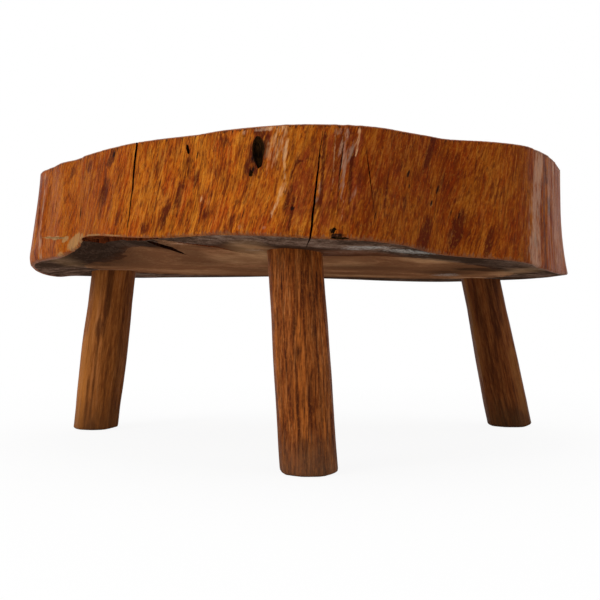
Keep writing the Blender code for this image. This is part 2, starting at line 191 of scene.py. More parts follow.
POLES = (
    Pole(
        name="front",
        diameter=0.0624,
        head_shares=(-0.006, -0.657),
        foot_shares=(0.037, -0.762),
        girth_shares=((0.13, 0.992), (0.32, 1.0), (0.50, 0.996), (0.68, 0.985), (0.80, 0.975)),
        flats=9,
        flats_turn=12.0,
        grain_slant=0.08,
        foot_wear=0.0034,
        dark_strips=(
            (-81, 2.0, -0.1, 1.1, 0.8),
            (-71, 9, -0.1, 1.1, 0.5),
            (-57, 1.8, 0.2, 1.1, 0.9),
            (-46, 2.4, -0.1, 0.8, 0.8),
            (-30, 7, 0.1, 0.5, 0.7),
            (-14, 10, -0.1, 1.1, 0.6),
            (-104, 2.5, 0.12, 0.62, 0.8),
            (-99, 3.5, 0.655, 0.665, 1.0),
            (-97, 3.0, 0.53, 0.54, 1.0),
            (-113, 3, 0.28, 0.50, 0.6),
            (-124, 1.8, 0.3, 1.1, 0.7),
            (-140, 3, 0.1, 0.7, 0.6),
            (-166, 9, -0.1, 1.1, 0.5),
            (-70, 30, -0.1, 0.14, 0.6),
            (-98, 14, 0.08, 0.13, 0.7),
            (120, 6, -0.1, 1.1, 0.6),
            (60, 4, -0.1, 1.1, 0.8),
            (160, 3, 0.1, 0.9, 0.7),
        ),
        light_strips=(
            (-92, 7, 0.14, 0.66, 0.6),
            (-52, 3, 0.05, 0.45, 0.7),
            (-110, 5, 0.20, 0.50, 0.5),
            (-150, 6, 0.30, 0.60, 0.4),
            (90, 12, 0.1, 0.8, 0.5),
        ),
    ),
    Pole(
        name="rear_left",
        diameter=0.0672,
        head_shares=(-0.746, 0.463),
        foot_shares=(-0.836, 0.545),
        girth_shares=((0.14, 0.965), (0.30, 0.992), (0.44, 1.0), (0.60, 0.985), (0.78, 0.950)),
        flats=9,
        flats_turn=31.0,
        grain_slant=0.02,
        foot_wear=0.0030,
        dark_strips=(
            (-86, 8, 0.72, 1.1, 1.0),
            (-88, 4, 0.60, 1.1, 0.8),
            (-101, 9, 0.60, 0.66, 1.0),
            (-98, 3.0, -0.1, 0.62, 0.75),
            (-112, 4, -0.1, 0.30, 0.6),
            (-66, 5, 0.0, 0.5, 0.4),
            (-30, 26, -0.1, 1.1, 0.55),
            (-92, 12, -0.1, 0.025, 1.0),
            (60, 6, -0.1, 1.1, 0.7),
            (140, 3, 0.1, 1.1, 0.8),
        ),
        light_strips=(
            (-140, 22, -0.1, 0.55, 0.8),
            (-120, 10, 0.55, 0.95, 0.4),
            (100, 14, 0.1, 0.9, 0.5),
        ),
    ),
    Pole(
        name="rear_right",
        diameter=0.0664,
        head_shares=(0.760, 0.555),
        foot_shares=(0.902, 0.658),
        girth_shares=((0.17, 0.982), (0.32, 0.956), (0.47, 0.935), (0.62, 0.908), (0.78, 0.858)),
        flats=9,
        flats_turn=5.0,
        grain_slant=0.0,
        foot_wear=0.0062,
        dark_strips=(
            (-122, 12, -0.1, 1.1, 0.6),
            (-84, 10, 0.62, 1.1, 0.8),
            (-60, 10, 0.70, 1.1, 0.7),
            (-100, 5, 0.0, 0.6, 0.6),
            (-70, 3, -0.1, 0.3, 0.6),
            (-90, 30, -0.1, 0.10, 0.7),
            (80, 6, -0.1, 1.1, 0.7),
            (150, 4, 0.1, 1.1, 0.8),
        ),
        light_strips=(
            (-160, 12, 0.35, 1.1, 0.9),
            (-46, 16, 0.12, 0.5, 0.7),
            (110, 14, 0.1, 0.9, 0.5),
        ),
    ),
)

# How far a pole is dressed from round, 0, towards plain flats, 1
HEWN_SHARE = 0.55

# What the drawknife left on a pole, a slow waver, open grain and fine fibres: how often each comes
# round the pole and along it, and its depth. It fades over these shares of the height at the ends
KNIFE_MARKS = ((1.6, 5, 0.0006), (11, 2.2, 0.0003), (26, 6, 0.00018))
CALM_HEAD = 0.05
CALM_FOOT = 0.03

# A pole's foot: a ring inside the sole, the steps of its eased arris, the share of the arris that
# still shows end grain, and from where and over how many radii the right corner is worn up
SOLE_RING = 0.4
FOOT_STEPS = 4
SOLE_SHARE = 0.2
FOOT_WEAR_START = 0.35
FOOT_WEAR_SPAN = 0.8

# The rings of a tenon, from its shoulder at 1 to its end at 2
TENON_LEVELS = (1, 1.1, 2)

# Checks round the heart of the sawn top: bearing, start, end, width and depth, then how far they
# wander
HEART_CHECKS = (
    (12, 0.004, 0.105, 0.0016, 0.010),
    (74, 0.003, 0.062, 0.0012, 0.008),
    (131, 0.004, 0.120, 0.0018, 0.012),
    (-158, 0.003, 0.074, 0.0013, 0.008),
    (-58, 0.005, 0.088, 0.0014, 0.010),
)
CHECK_DRIFT = 0.004

# The torn ledge: its bearings from left to right, the shares of its length over which its ends
# close, how much it narrows to the right, its least and its further width, and its height. Its
# edge is ragged, and its roof has a least height, waves and fibres
LEDGE_BEARINGS = (-149.4, -118.0)
LEDGE_ENDS = (0.04, 0.2)
LEDGE_NARROWING = 0.8
LEDGE_LEAST = 0.003
LEDGE_WIDTH = 0.025
LEDGE_HEIGHT = 0.0010
LEDGE_RAGGED = 0.0015
LEDGE_ROOF_LEAST = 0.0002
LEDGE_ROOF_WAVES = 0.0004
LEDGE_ROOF_FIBRES = 0.0003

# The shake behind the ledge: both ends in plan, its half width, how high its middle lies and how
# deep it opens. It is lumpy, and closes to a least share of its width
SHAKE_ENDS = ((-0.158, -0.212), (-0.128, -0.100))
SHAKE_HALF_WIDTH = 0.0095
SHAKE_RISE = 0.0012
SHAKE_DEPTH = 0.014
SHAKE_LUMPS = 0.35
SHAKE_LUMP_SCALE = 2.6
SHAKE_LEAST = 0.04

# The lumps of a rotted hollow, and where and how quickly it tapers downwards
HOLLOW_LUMP_SCALE = 2.3
HOLLOW_TAPER_START = 0.3
HOLLOW_TAPER_SPAN = 1.3

# A split narrows inwards by this share, is never narrower than this, and has walls this rough
SPLIT_NARROWING = 0.85
SPLIT_LEAST = 0.0001
SPLIT_ROUGHNESS = 0.0003

# How far outside or under the wood a cutter starts, and how much wider than the tenon its kerf's
# cutter is
KERF_OVERREACH = 1.2
SEAT_DROP = 0.022
BORE_DROP = 0.010
SPLIT_START = 0.008
LEDGE_START = 0.010
LEDGE_DROP = 0.030
CHECK_START = 0.002

# The eased edges of the slice: the upper one is chipped up to so much wider, the lower one ragged
TOP_ARRIS = 0.0014
TOP_CHIPPING = 1.5
LOWER_ARRIS = 0.0025
LOWER_RAGGED = 0.5
WORN_ARRIS = 0.0050

# Bearing, and how many degrees a fibre moves round the trunk on its way up the slice
GRAIN_LEANS = (
    (-180, 0.8),
    (-174, 1.4),
    (-164, 5.6),
    (-150, 6.8),
    (-134, 6.0),
    (-120, 4.8),
    (-104, 4.6),
    (-88, 5.0),
    (-76, 6.0),
    (-64, 8.2),
    (-52, 8.2),
    (-43, 4.0),
    (-36, 1.2),
    (0, 0.6),
    (30, 2.0),
    (60, 3.9),
    (160, 3.9),
    (180, 0.8),
)

# Relief as its size across, its size along and its depth. The seed sets the layers apart, and
# the saw's marks have a depth alone
RIDGES = ((0.040, 0.250, 0.0009), (0.012, 0.100, 0.0010), (0.0055, 0.045, 0.0007))
RIDGE_SEED = 9000
ADZE_CUT = (0.034, 0.022, 0.0011)
ADZE_RIPPLE = (0.009, 0.014, 0.0004)
SAW_MARKS = 0.00008

# The lower edge is worn round at the left end: where the wear starts on either side and in how
# many degrees it is full, how deep it goes, and up to which share of the wall's height
WEAR_STARTS = ((-151, -10), (150, 20))
WEAR_DEPTH = 0.0025
WEAR_HEIGHT = 0.11

# Places raised or sunk on the grown edge: bearing, height share, half width, half height, rise
SWELLS = (
    (-91.9, 0.92, 0.0040, 0.024, 0.0016),
    (-91.7, 0.66, 0.0035, 0.024, 0.0014),
    (-92.4, 0.36, 0.0050, 0.028, 0.0018),
    (-96.4, 0.76, 0.0130, 0.026, 0.0026),
    (-87.2, 0.55, 0.0060, 0.060, -0.0012),
    (-84.6, 0.62, 0.0028, 0.060, 0.0020),
    (-83.2, 0.70, 0.0024, 0.050, -0.0018),
    (-82.1, 0.78, 0.0026, 0.040, 0.0022),
    (-81.0, 0.60, 0.0024, 0.050, -0.0014),
    (-80.0, 0.72, 0.0028, 0.045, 0.0020),
    (-78.6, 0.50, 0.0026, 0.070, -0.0014),
    (-172.0, 0.45, 0.0050, 0.050, 0.0020),
    (-175.5, 0.45, 0.0050, 0.050, -0.0018),
    (-38.6, 0.42, 0.0030, 0.046, 0.0010),
    (-33.5, 0.42, 0.0040, 0.046, -0.0012),
    (-29.5, 0.42, 0.0045, 0.044, 0.0010),
    (-25.0, 0.42, 0.0050, 0.044, -0.0010),
    (-112.0, 0.80, 0.0090, 0.026, 0.0014),
    (-137.5, 0.52, 0.0080, 0.022, -0.0016),
)

# A swelling leans with the grain, is left out so many degrees away, and fades to nothing
SWELL_LEAN = 0.1
SWELL_SPAN = 6
SWELL_END = 4
SWELL_FALL = 1.2

# How finely the blanks are divided, and how much closer the columns stand at the front and the
# levels at the top. The underside's relief settles in over a share of its reach
SLAB_COLUMNS = 860
WALL_LEVELS = 50
WALL_CROWDING = 0.93
FRONT_CROWDING = 0.42
TOP_STEPS = 3
LOWER_STEPS = 4
TOP_REACHES = (0, 0.25, 0.55, 0.80, 0.93, 0.985, 1.0)
UNDER_REACHES = (
    *(0.990, 0.98, 0.97, 0.957, 0.943, 0.928, 0.91, 0.89, 0.865, 0.84, 0.81, 0.78),
    *(0.74, 0.70, 0.65, 0.60, 0.54, 0.47, 0.40, 0.32, 0.23, 0.12, 0),
)
SETTLE_SHARE = 0.03
POLE_COLUMNS = 144
POLE_LEVELS = 96
BORE_SEGMENTS = 64

# The rim is worked out this many times a degree
RIM_STEPS = 8

# A scar's facets and its steps between two rows of its path, how far ahead it looks for its
# direction, and how far a scar's or a check's taper stays off its tips
GOUGE_COLUMNS = 16
GOUGE_STEPS = 12
GOUGE_LOOK = 0.02
TIP_SHARE = 0.02

# Points closer than this are one, and edges sharper than so many degrees stay sharp
WELD = 1e-5
SLAB_CREASE = 38
POLE_CREASE = 35

# The slice's materials in the order that its faces count them, and where the band along the rim
# of the underside starts, as a share of the reach that wanders
EDGE, TOP, UNDER, BAND = range(4)
BAND_START = 0.80
BAND_RAGGED = 0.05

# In the end grain: how far the rings waver, the radii between which heartwood and bark line set in,
# how much the rings follow the lobes of the rim, and the radius at which rays are as wide as given
RING_WAVER = 0.022
HEARTWOOD_EDGE = (0.268, 0.250)
BARK_EDGE = (0.318, 0.324)
RING_LOBES = 1.5
RAY_RADIUS = 0.15

# A mark ends at so many times its half width, and how sharply strips and lines end at their sides
# and past their ends
MARK_END = 1.5
STRIP_SHARPNESS = 0.9
STRIP_END_SHARPNESS = 18
LINE_SHARPNESS = 0.8
LINE_END_SHARPNESS = 25

# Marks on the grown edge: bearing, height share, half width and half height in metres, strength
BLACK_MARKS = (
    (-150.8, 0.34, 0.0012, 0.009, 1.0),
    (-172.6, 0.88, 0.0010, 0.006, 0.9),
    (-133.8, 0.93, 0.0022, 0.005, 0.8),
    (-109.3, 0.80, 0.0014, 0.005, 0.9),
    (-110.0, 0.70, 0.0010, 0.006, 0.6),
    (-99.0, 0.18, 0.0010, 0.009, 0.8),
    (-98.9, 0.93, 0.0030, 0.003, 0.5),
    (-92.4, 0.45, 0.0010, 0.008, 0.5),
    (-90.6, 0.24, 0.0020, 0.003, 0.8),
    (-97.4, 0.60, 0.0030, 0.004, 0.7),
    (-96.3, 0.765, 0.0066, 0.0165, 0.75),
    (-69.8, 0.63, 0.0014, 0.005, 1.0),
    (-69.6, 0.52, 0.0011, 0.003, 0.8),
    (-63.7, 0.56, 0.0012, 0.003, 0.8),
    (-61.7, 0.55, 0.0013, 0.006, 1.0),
    (-63.6, 0.42, 0.0014, 0.004, 0.9),
    (-84.4, 0.055, 0.0030, 0.003, 0.7),
    (-83.6, 0.010, 0.0080, 0.003, 0.7),
    (-56.9, 0.33, 0.0012, 0.006, 0.7),
    (-58.6, 0.36, 0.0010, 0.005, 0.7),
    (-77.3, 0.20, 0.0008, 0.006, 0.8),
    (-116.6, 0.18, 0.0016, 0.008, 0.5),
)
STAIN_MARKS = (
    (-134.6, 0.91, 0.0056, 0.013, 1.0),
    (-136.0, 0.84, 0.0030, 0.008, 0.7),
    (-137.6, 0.50, 0.0080, 0.020, 1.0),
    (-111.4, 0.68, 0.0040, 0.014, 0.5),
    (-113.6, 0.42, 0.0034, 0.020, 0.6),
    (-116.8, 0.20, 0.0055, 0.020, 0.8),
    (-119.5, 0.30, 0.0030, 0.014, 0.4),
    (-109.6, 0.55, 0.0040, 0.014, 0.6),
    (-106.8, 0.20, 0.0045, 0.010, 0.7),
    (-101.0, 0.12, 0.0045, 0.010, 0.6),
    (-122.0, 0.08, 0.0060, 0.008, 0.7),
    (-131.0, 0.20, 0.0070, 0.016, 0.4),
    (-146.0, 0.86, 0.0090, 0.010, 0.5),
    (-157.0, 0.88, 0.0060, 0.012, 0.5),
    (-98.0, 0.66, 0.0040, 0.016, 0.7),
    (-96.4, 0.77, 0.0090, 0.019, 0.8),
    (-96.0, 0.97, 0.0090, 0.004, 0.6),
    (-103.0, 0.90, 0.0060, 0.008, 0.5),
    (-90.4, 0.62, 0.0020, 0.016, 0.5),
    (-91.4, 0.30, 0.0030, 0.016, 0.6),
    (-64.0, 0.87, 0.0048, 0.022, 0.9),
    (-68.0, 0.93, 0.0030, 0.010, 0.5),
    (-65.8, 0.12, 0.0075, 0.020, 1.0),
    (-57.6, 0.20, 0.0075, 0.022, 1.0),
    (-51.2, 0.12, 0.0040, 0.016, 0.9),
    (-60.4, 0.62, 0.0020, 0.012, 0.6),
    (-54.6, 0.56, 0.0016, 0.010, 0.6),
    (-71.0, 0.36, 0.0040, 0.014, 0.5),
    (-26.5, 0.55, 0.0120, 0.011, 0.8),
    (-29.0, 0.82, 0.0080, 0.010, 0.7),
    (-37.0, 0.20, 0.0060, 0.009, 0.7),
    (-30.0, 0.84, 0.0020, 0.012, 0.6),
    (-77.0, 0.30, 0.0045, 0.022, 0.4),
    (-86.9, 0.25, 0.0060, 0.016, 0.5),
    (-96.2, 0.80, 0.0072, 0.024, 0.9),
    (-96.9, 0.62, 0.0040, 0.016, 0.7),
)
RED_MARKS = (
    (-83.4, 0.66, 0.0105, 0.045, 0.9),
    (-80.8, 0.74, 0.0060, 0.032, 0.9),
    (-81.5, 0.34, 0.0120, 0.036, 0.8),
    (-85.0, 0.36, 0.0050, 0.048, 0.8),
    (-94.9, 0.83, 0.0022, 0.010, 1.0),
    (-96.9, 0.62, 0.0080, 0.020, 0.5),
    (-75.2, 0.30, 0.0060, 0.030, 0.5),
    (-179.0, 0.55, 0.0090, 0.060, 0.7),
    (-115.0, 0.35, 0.0120, 0.030, 0.5),
    (-107.5, 0.32, 0.0060, 0.020, 0.6),
    (-89.3, 0.42, 0.0130, 0.055, 0.85),
    (-84.0, 0.45, 0.0100, 0.060, 0.70),
    (-96.2, 0.78, 0.0095, 0.030, 0.70),
)
PALE_MARKS = (
    (-94.4, 0.99, 0.0060, 0.003, 0.8),
    (-98.0, 0.99, 0.0040, 0.002, 0.6),
    (-108.0, 0.35, 0.0014, 0.005, 1.0),
    (-107.4, 0.41, 0.0007, 0.003, 0.8),
    (-82.2, 0.90, 0.0030, 0.005, 0.6),
    (-93.2, 0.84, 0.0090, 0.040, 0.60),
    (-92.8, 0.55, 0.0050, 0.030, 0.30),
    (-94.5, 0.83, 0.0012, 0.0016, 1.0),
    (-145.6, 0.56, 0.0060, 0.012, 0.35),
)
TAN_MARKS = (
    (-142.0, -0.004, 0.0220, 0.0016, 0.8),
    (-133.0, -0.004, 0.0240, 0.0014, 0.7),
    (-153.6, 0.055, 0.0150, 0.010, 1.0),
    (-149.4, 0.00, 0.0090, 0.006, 1.0),
    (-157.6, 0.14, 0.0070, 0.004, 0.9),
    (-162.5, 0.190, 0.0130, 0.0028, 0.9),
    (-168.0, 0.218, 0.0130, 0.0024, 0.8),
    (-160.0, 0.00, 0.0100, 0.004, 0.6),
)
# Painted sheen: greyish highlights of the varnish, most of them on the glossy patch
PAINTED_SHEEN_MARKS = (
    (-82.6, 0.82, 0.0030, 0.014, 0.9),
    (-81.6, 0.74, 0.0026, 0.012, 0.8),
    (-82.4, 0.64, 0.0030, 0.010, 0.7),
    (-80.6, 0.84, 0.0022, 0.012, 0.8),
    (-81.0, 0.36, 0.0032, 0.014, 0.5),
    (-83.1, 0.95, 0.0050, 0.005, 0.7),
    (-86.6, 0.40, 0.0030, 0.020, 0.5),
    (-92.6, 0.96, 0.0060, 0.006, 0.6),
    (-95.4, 0.985, 0.0110, 0.003, 0.9),
    (-98.8, 0.97, 0.0050, 0.004, 0.6),
    (-63.6, 0.41, 0.0016, 0.004, 0.7),
    (-106.4, 0.29, 0.0030, 0.006, 0.5),
    (-99.6, 0.05, 0.0030, 0.004, 0.6),
    (-95.2, 0.05, 0.0026, 0.003, 0.6),
)

# Marks on the underside: x, y, half length and half depth in metres, strength
# Painted shade: the shadow just behind the step and by the front pole's seat, and darker patches
# elsewhere
SHADE_MARKS = (
    (-0.245, -0.100, 0.060, 0.130, 0.78),
    (-0.253, -0.030, 0.035, 0.060, 0.75),
    (-0.170, -0.165, 0.036, 0.040, 0.85),
    (-0.072, -0.205, 0.034, 0.018, 0.55),
    (-0.230, -0.160, 0.030, 0.040, 0.35),
    (-0.155, -0.240, 0.030, 0.018, 0.60),
    (0.212, -0.090, 0.052, 0.150, 0.55),
    (0.120, -0.060, 0.050, 0.120, 0.25),
    (0.225, -0.065, 0.040, 0.050, 1.0),
    (0.200, 0.020, 0.046, 0.060, 0.75),
    (0.090, -0.030, 0.070, 0.060, 0.50),
    (-0.120, -0.060, 0.036, 0.050, 0.35),
    (-0.125, -0.130, 0.022, 0.060, 0.40),
    (-0.090, -0.185, 0.040, 0.012, 0.60),
    (0.000, -0.243, 0.052, 0.013, 0.80),
    (0.080, -0.190, 0.060, 0.014, 0.50),
    (0.205, -0.205, 0.034, 0.014, 0.50),
    (0.000, 0.240, 0.320, 0.060, 0.40),
    (-0.060, 0.080, 0.050, 0.070, 0.30),
    (0.090, 0.130, 0.070, 0.050, 0.40),
)
LIGHT_MARKS = (
    (-0.048, -0.175, 0.026, 0.070, 0.9),
    (-0.070, -0.100, 0.034, 0.045, 0.5),
    (0.060, -0.100, 0.030, 0.060, 0.3),
    (0.140, -0.178, 0.030, 0.022, 0.6),
    (0.270, -0.060, 0.020, 0.090, 0.5),
    (-0.290, -0.050, 0.020, 0.080, 0.4),
    (0.050, 0.180, 0.090, 0.030, 0.4),
    (-0.140, 0.150, 0.060, 0.050, 0.4),
)
# Painted glints: varnish on the underside's rim catching the light
PAINTED_GLINT_MARKS = (
    (0.064, -0.248, 0.022, 0.010, 0.9),
    (0.116, -0.243, 0.034, 0.015, 1.0),
    (0.074, -0.262, 0.030, 0.013, 1.0),
    (0.132, -0.222, 0.016, 0.008, 0.6),
    (0.206, 0.090, 0.024, 0.062, 0.8),
    (-0.125, -0.200, 0.014, 0.010, 0.7),
    (-0.046, -0.200, 0.016, 0.012, 0.7),
    (-0.085, -0.245, 0.030, 0.008, 0.5),
    (0.030, -0.270, 0.020, 0.006, 0.5),
)

# Lines on the grown edge: a strength, then rows of height share, bearing and half width
PALE_LINES = (
    (
        0.85,
        ((0.18, -94.0, 0.0008), (0.30, -92.9, 0.0016), (0.40, -92.3, 0.0026), (0.48, -91.9, 0.0014)),
    ),
    (
        0.80,
        ((0.46, -91.8, 0.0013), (0.60, -91.9, 0.0009), (0.72, -91.9, 0.0013), (0.80, -91.6, 0.0010)),
    ),
    (
        0.75,
        ((0.78, -91.7, 0.0011), (0.88, -91.5, 0.0018), (0.95, -91.9, 0.0022), (1.06, -92.4, 0.0036)),
    ),
    (0.75, ((0.36, -84.4, 0.0005), (0.60, -84.1, 0.0008), (0.90, -83.8, 0.0006))),
    (0.70, ((0.72, -83.0, 0.0006), (0.95, -82.4, 0.0010))),
    (0.75, ((0.74, -80.4, 0.0007), (0.96, -79.8, 0.0014))),
    (0.60, ((0.15, -82.9, 0.0005), (0.50, -82.2, 0.0006))),
    (0.60, ((0.02, -151.9, 0.0006), (0.36, -151.2, 0.0007))),
    (0.40, ((0.10, -58.9, 0.0007), (0.24, -58.2, 0.0010))),
    (0.35, ((0.05, -66.6, 0.0007), (0.30, -65.7, 0.0009))),
)
DARK_LINES = (
    (0.8, ((0.30, -86.2, 0.0010), (0.90, -85.4, 0.0014))),
    (0.8, ((0.20, -83.6, 0.0007), (0.96, -82.5, 0.0010))),
    (0.7, ((0.30, -81.6, 0.0012), (0.80, -80.9, 0.0016))),
    (0.6, ((0.05, -91.2, 0.0010), (0.34, -90.4, 0.0014))),
    (0.6, ((0.40, -90.9, 0.0008), (0.66, -90.2, 0.0012))),
    (0.7, ((0.67, -89.8, 0.0030), (0.69, -88.2, 0.0030), (0.71, -86.2, 0.0010))),
    (0.6, ((0.02, -109.0, 0.0010), (0.30, -107.6, 0.0012))),
    (0.6, ((0.15, -120.0, 0.0010), (0.55, -118.2, 0.0013))),
    (0.6, ((0.20, -113.8, 0.0010), (0.75, -111.4, 0.0016))),
    (0.5, ((0.35, -105.6, 0.0008), (0.62, -104.6, 0.0011))),
    (0.6, ((0.25, -75.4, 0.0009), (0.60, -74.4, 0.0011))),
    (0.6, ((0.30, -62.8, 0.0008), (0.50, -62.0, 0.0010))),
    (0.5, ((0.60, -53.6, 0.0008), (0.85, -53.0, 0.0010))),
    (0.5, ((0.02, -175.0, 0.0020), (0.98, -177.6, 0.0020))),
    (0.5, ((0.05, -129.6, 0.0007), (0.40, -128.8, 0.0008))),
    # Painted shade in the crease between the sheen stripes at the right end
    (0.8, ((0.00, -32.0, 0.0030), (1.00, -30.6, 0.0026))),
)
RED_LINES = (
    (1.0, ((0.00, -174.6, 0.0042), (1.00, -177.6, 0.0042))),
    (0.8, ((0.10, -85.0, 0.0030), (0.90, -84.4, 0.0040))),
)
# Painted sheen stripes: the varnish's reflection at the left and right ends and on the glossy patch
PAINTED_SHEEN_LINES = (
    (0.72, ((0.02, -172.0, 0.0036), (0.50, -173.2, 0.0038), (0.96, -174.8, 0.0036))),
    (0.55, ((0.00, -177.2, 0.0030), (1.00, -179.6, 0.0030))),
    (0.7, ((0.36, -82.9, 0.0018), (0.96, -82.0, 0.0026))),
    (0.92, ((0.00, -38.2, 0.0150), (0.50, -36.4, 0.0150), (1.00, -33.8, 0.0120))),
    (0.60, ((0.10, -19.0, 0.0110), (1.00, -21.0, 0.0100))),
    (0.4, ((0.00, -26.0, 0.0160), (1.00, -27.0, 0.0120))),
)

# The marks and lines under the names that the points carry, and how much the grain frays each
MARKS = {
    "red_mark": RED_MARKS,
    "stain_and_crease_shade_mark": STAIN_MARKS,
    "pale_mark": PALE_MARKS,
    "tan_mark": TAN_MARKS,
    "painted_sheen_mark": PAINTED_SHEEN_MARKS,
    "black_mark": BLACK_MARKS,
}
UNDER_MARKS = {"light_mark": LIGHT_MARKS, "shade_mark": SHADE_MARKS, "painted_glint_mark": PAINTED_GLINT_MARKS}
LINES = {
    "pale_mark": PALE_LINES,
    "stain_and_crease_shade_mark": DARK_LINES,
    "red_mark": RED_LINES,
    "painted_sheen_mark": PAINTED_SHEEN_LINES,
}
FRAYING = {
    "red_mark": 2.2,
    "stain_and_crease_shade_mark": 2.4,
    "pale_mark": 2.6,
    "tan_mark": 1.2,
    "painted_sheen_mark": 2.6,
    "black_mark": 1.2,
}

# How the grain breaks up the marks of the underside and the strips of the poles: gain and offset
UNDER_FRAYING = (2.4, -0.2)
STRIP_FRAYING = (-1.2, 1.6)

# The photograph's camera: how wide its frame is, its focal length and how far under the frame's
# middle the horizon lies, in pixels, its sensor in mm, and its place in metres
FRAME_PIXELS = 600
FOCAL_PIXELS = 950
HORIZON_DROP = 20
SENSOR_MM = 36
CAMERA_PLACE = (0.0035, -1.2315, 0.159)

for old in list(bpy.data.objects):
    if old.type in {"CAMERA", "LIGHT"}:
        bpy.data.objects.remove(old)


def linear(hex_colour):
    """An sRGB hex colour as linear red, green, blue and alpha."""
    found = []
    for place in (1, 3, 5):
        value = int(hex_colour[place : place + 2], 16) / 255
        found.append(value / 12.92 if value <= 0.04045 else ((value + 0.055) / 1.055) ** 2.4)
    return (*found, 1)


def per_mm(size):
    """The scale that gives a pattern features of that many millimetres."""
    return 1000 / size


def connect(tree, node, inputs):
    """Sets a node's inputs to values, or links them. A node stands for its first output."""
    for socket, value in inputs.items():
        if isinstance(value, bpy.types.Node):
            value = value.outputs[0]
        if isinstance(value, bpy.types.NodeSocket):
            tree.links.new(value, node.inputs[socket])
        else:
            node.inputs[socket].default_value = value


def add_node(tree, kind, inputs=None, stops=None, **settings):
    """Adds a shader node of a kind with its settings, its inputs and its colour stops."""
    node = tree.nodes.new("ShaderNode" + kind)
    for name, value in settings.items():
        setattr(node, name, value)
    if stops:
        ramp = node.color_ramp.elements
        while len(ramp) < len(stops):
            ramp.new(1)
        for element, (place, colour) in zip(ramp, stops):
            element.position = place
            element.color = linear(colour)
    connect(tree, node, inputs or {})
    return node


def new_material(name, **sockets):
    """A material with a Principled shader whose plain sockets are set."""
    material = bpy.data.materials.new(name)
    material.use_nodes = True
    shader = material.node_tree.nodes["Principled BSDF"]
    for socket, value in sockets.items():
        shader.inputs[socket.replace("_", " ")].default_value = value
    return material, material.node_tree, shader


def smooth(share):
    """A share held between 0 and 1 and eased at both ends."""
    held = min(max(share, 0), 1)
    return held * held * (3 - 2 * held)


def through(rows, place, turn=None):
    """The values at a place on smooth curves through a table's rows, which may close on a turn."""
    count = len(rows)
    following = bisect_right([row[0] for row in rows], place)
    near = []
    for index in range(following - 2, following + 2):
        if turn:
            turns, index = divmod(index, count)
        else:
            turns, index = 0, min(max(index, 0), count - 1)
        near.append((rows[index][0] + (turn or 0) * turns, rows[index][1:]))
    (before, w), (start, x), (end, y), (after, z) = near
    if end == start:
        return list(x)
    share = (place - start) / (end - start)
    found = []
    for a, b, c, d in zip(w, x, y, z):
        slope_in = (c - a) * (end - start) / (end - before)
        slope_out = (d - b) * (end - start) / (after - start)
        rise = 3 * share**2 - 2 * share**3
        leave = share**3 - 2 * share**2 + share
        arrive = share**3 - share**2
        found.append(b + (c - b) * rise + slope_in * leave + slope_out * arrive)
    return found


def wrapped(bearing):
    """The same bearing between -180 and 180 degrees."""
    return (bearing + 180) % 360 - 180


def between(place, places, values):
    """The value at a place, on straight lines through the values of a row of places."""
    return float(np.interp(place, places, values))


def uneven(x, y, seed):
    """Smooth noise from -1 to 1. The seed keeps two uses from running alike."""
    return noise.noise(Vector((x, y, seed)))


def marked(strength, away, force):
    """The points' strength with one more mark, which is full inside and fades to its end."""
    return np.maximum(strength, force * np.clip(MARK_END - away, 0, 1))


RIM = [
    through(RIM_SHARES, step / RIM_STEPS - 180, turn=360) for step in range(360 * RIM_STEPS + 1)
]


def rim_at(bearing):
    """Reach, lean, lift and spread of the rim at a bearing."""
    place = (wrapped(bearing) + 180) * RIM_STEPS
    index = int(place)
    share = place - index
    return [a + (b - a) * share for a, b in zip(RIM[index], RIM[min(index + 1, len(RIM) - 1)])]


def oval(bearing, share):
    """The point in plan at a bearing and a share of the slice's half width and half depth."""
    turn = math.radians(bearing)
    x = SLAB_WIDTH / 2 * share * math.cos(turn)
    y = SLAB_DEPTH / 2 * share * math.sin(turn)
    return Vector((x, y))


def belly_height(x):
    """Height of the hewn underside before its edges lift."""
    across = 2 * x / SLAB_WIDTH
    tilt = (THICKNESS_RIGHT - THICKNESS_LEFT) / 2
    bow = (THICKNESS_RIGHT + THICKNESS_LEFT) / 2 - THICKNESS_MIDDLE
    return HEIGHT - THICKNESS_MIDDLE - tilt * across - bow * across**2


def plan_bearing(plan):
    """The bearing of a point in plan, in degrees, as if the slice were as wide as it is deep."""
    return math.degrees(math.atan2(plan.y / SLAB_DEPTH, plan.x / SLAB_WIDTH))


def underside_height(plan):
    """Height of the plain underside at a point in plan, as in the solids."""
    bearing = plan_bearing(plan)
    reach, _, lift, spread = rim_at(bearing)
    distance = oval(bearing, reach).length - plan.length
    fade = min(max(1 - distance / (LIFT_SPREAD * spread), 0), 1)
    return belly_height(plan.x) + EDGE_LIFT * lift * fade**LIFT_FADE_POWER


LEANS = [between(step - 180, *zip(*GRAIN_LEANS)) for step in range(361)]


def grain_lean(bearing):
    """How many degrees a fibre moves round the trunk from the bottom to the top of the slice."""
    place = wrapped(bearing) + 180
    index = int(place)
    following = LEANS[min(index + 1, len(LEANS) - 1)]
    return LEANS[index] + (following - LEANS[index]) * (place - index)


def swell(bearing, height_share):
    """How far a knot's lip, a rib or a groove raises the grown edge at a place."""
    rise = 0
    for middle, share, half_width, half_height, lift in SWELLS:
        off = wrapped(bearing - middle)
        if abs(off) > SWELL_SPAN:
            continue
        up = (height_share - share) * THICKNESS_MIDDLE
        aside = math.radians(off) * SLAB_DEPTH / 2 - up * SWELL_LEAN
        away = (aside / half_width) ** 2 + (up / half_height) ** 2
        if away < SWELL_END:
            rise += lift * math.exp(-away * SWELL_FALL)
    return rise


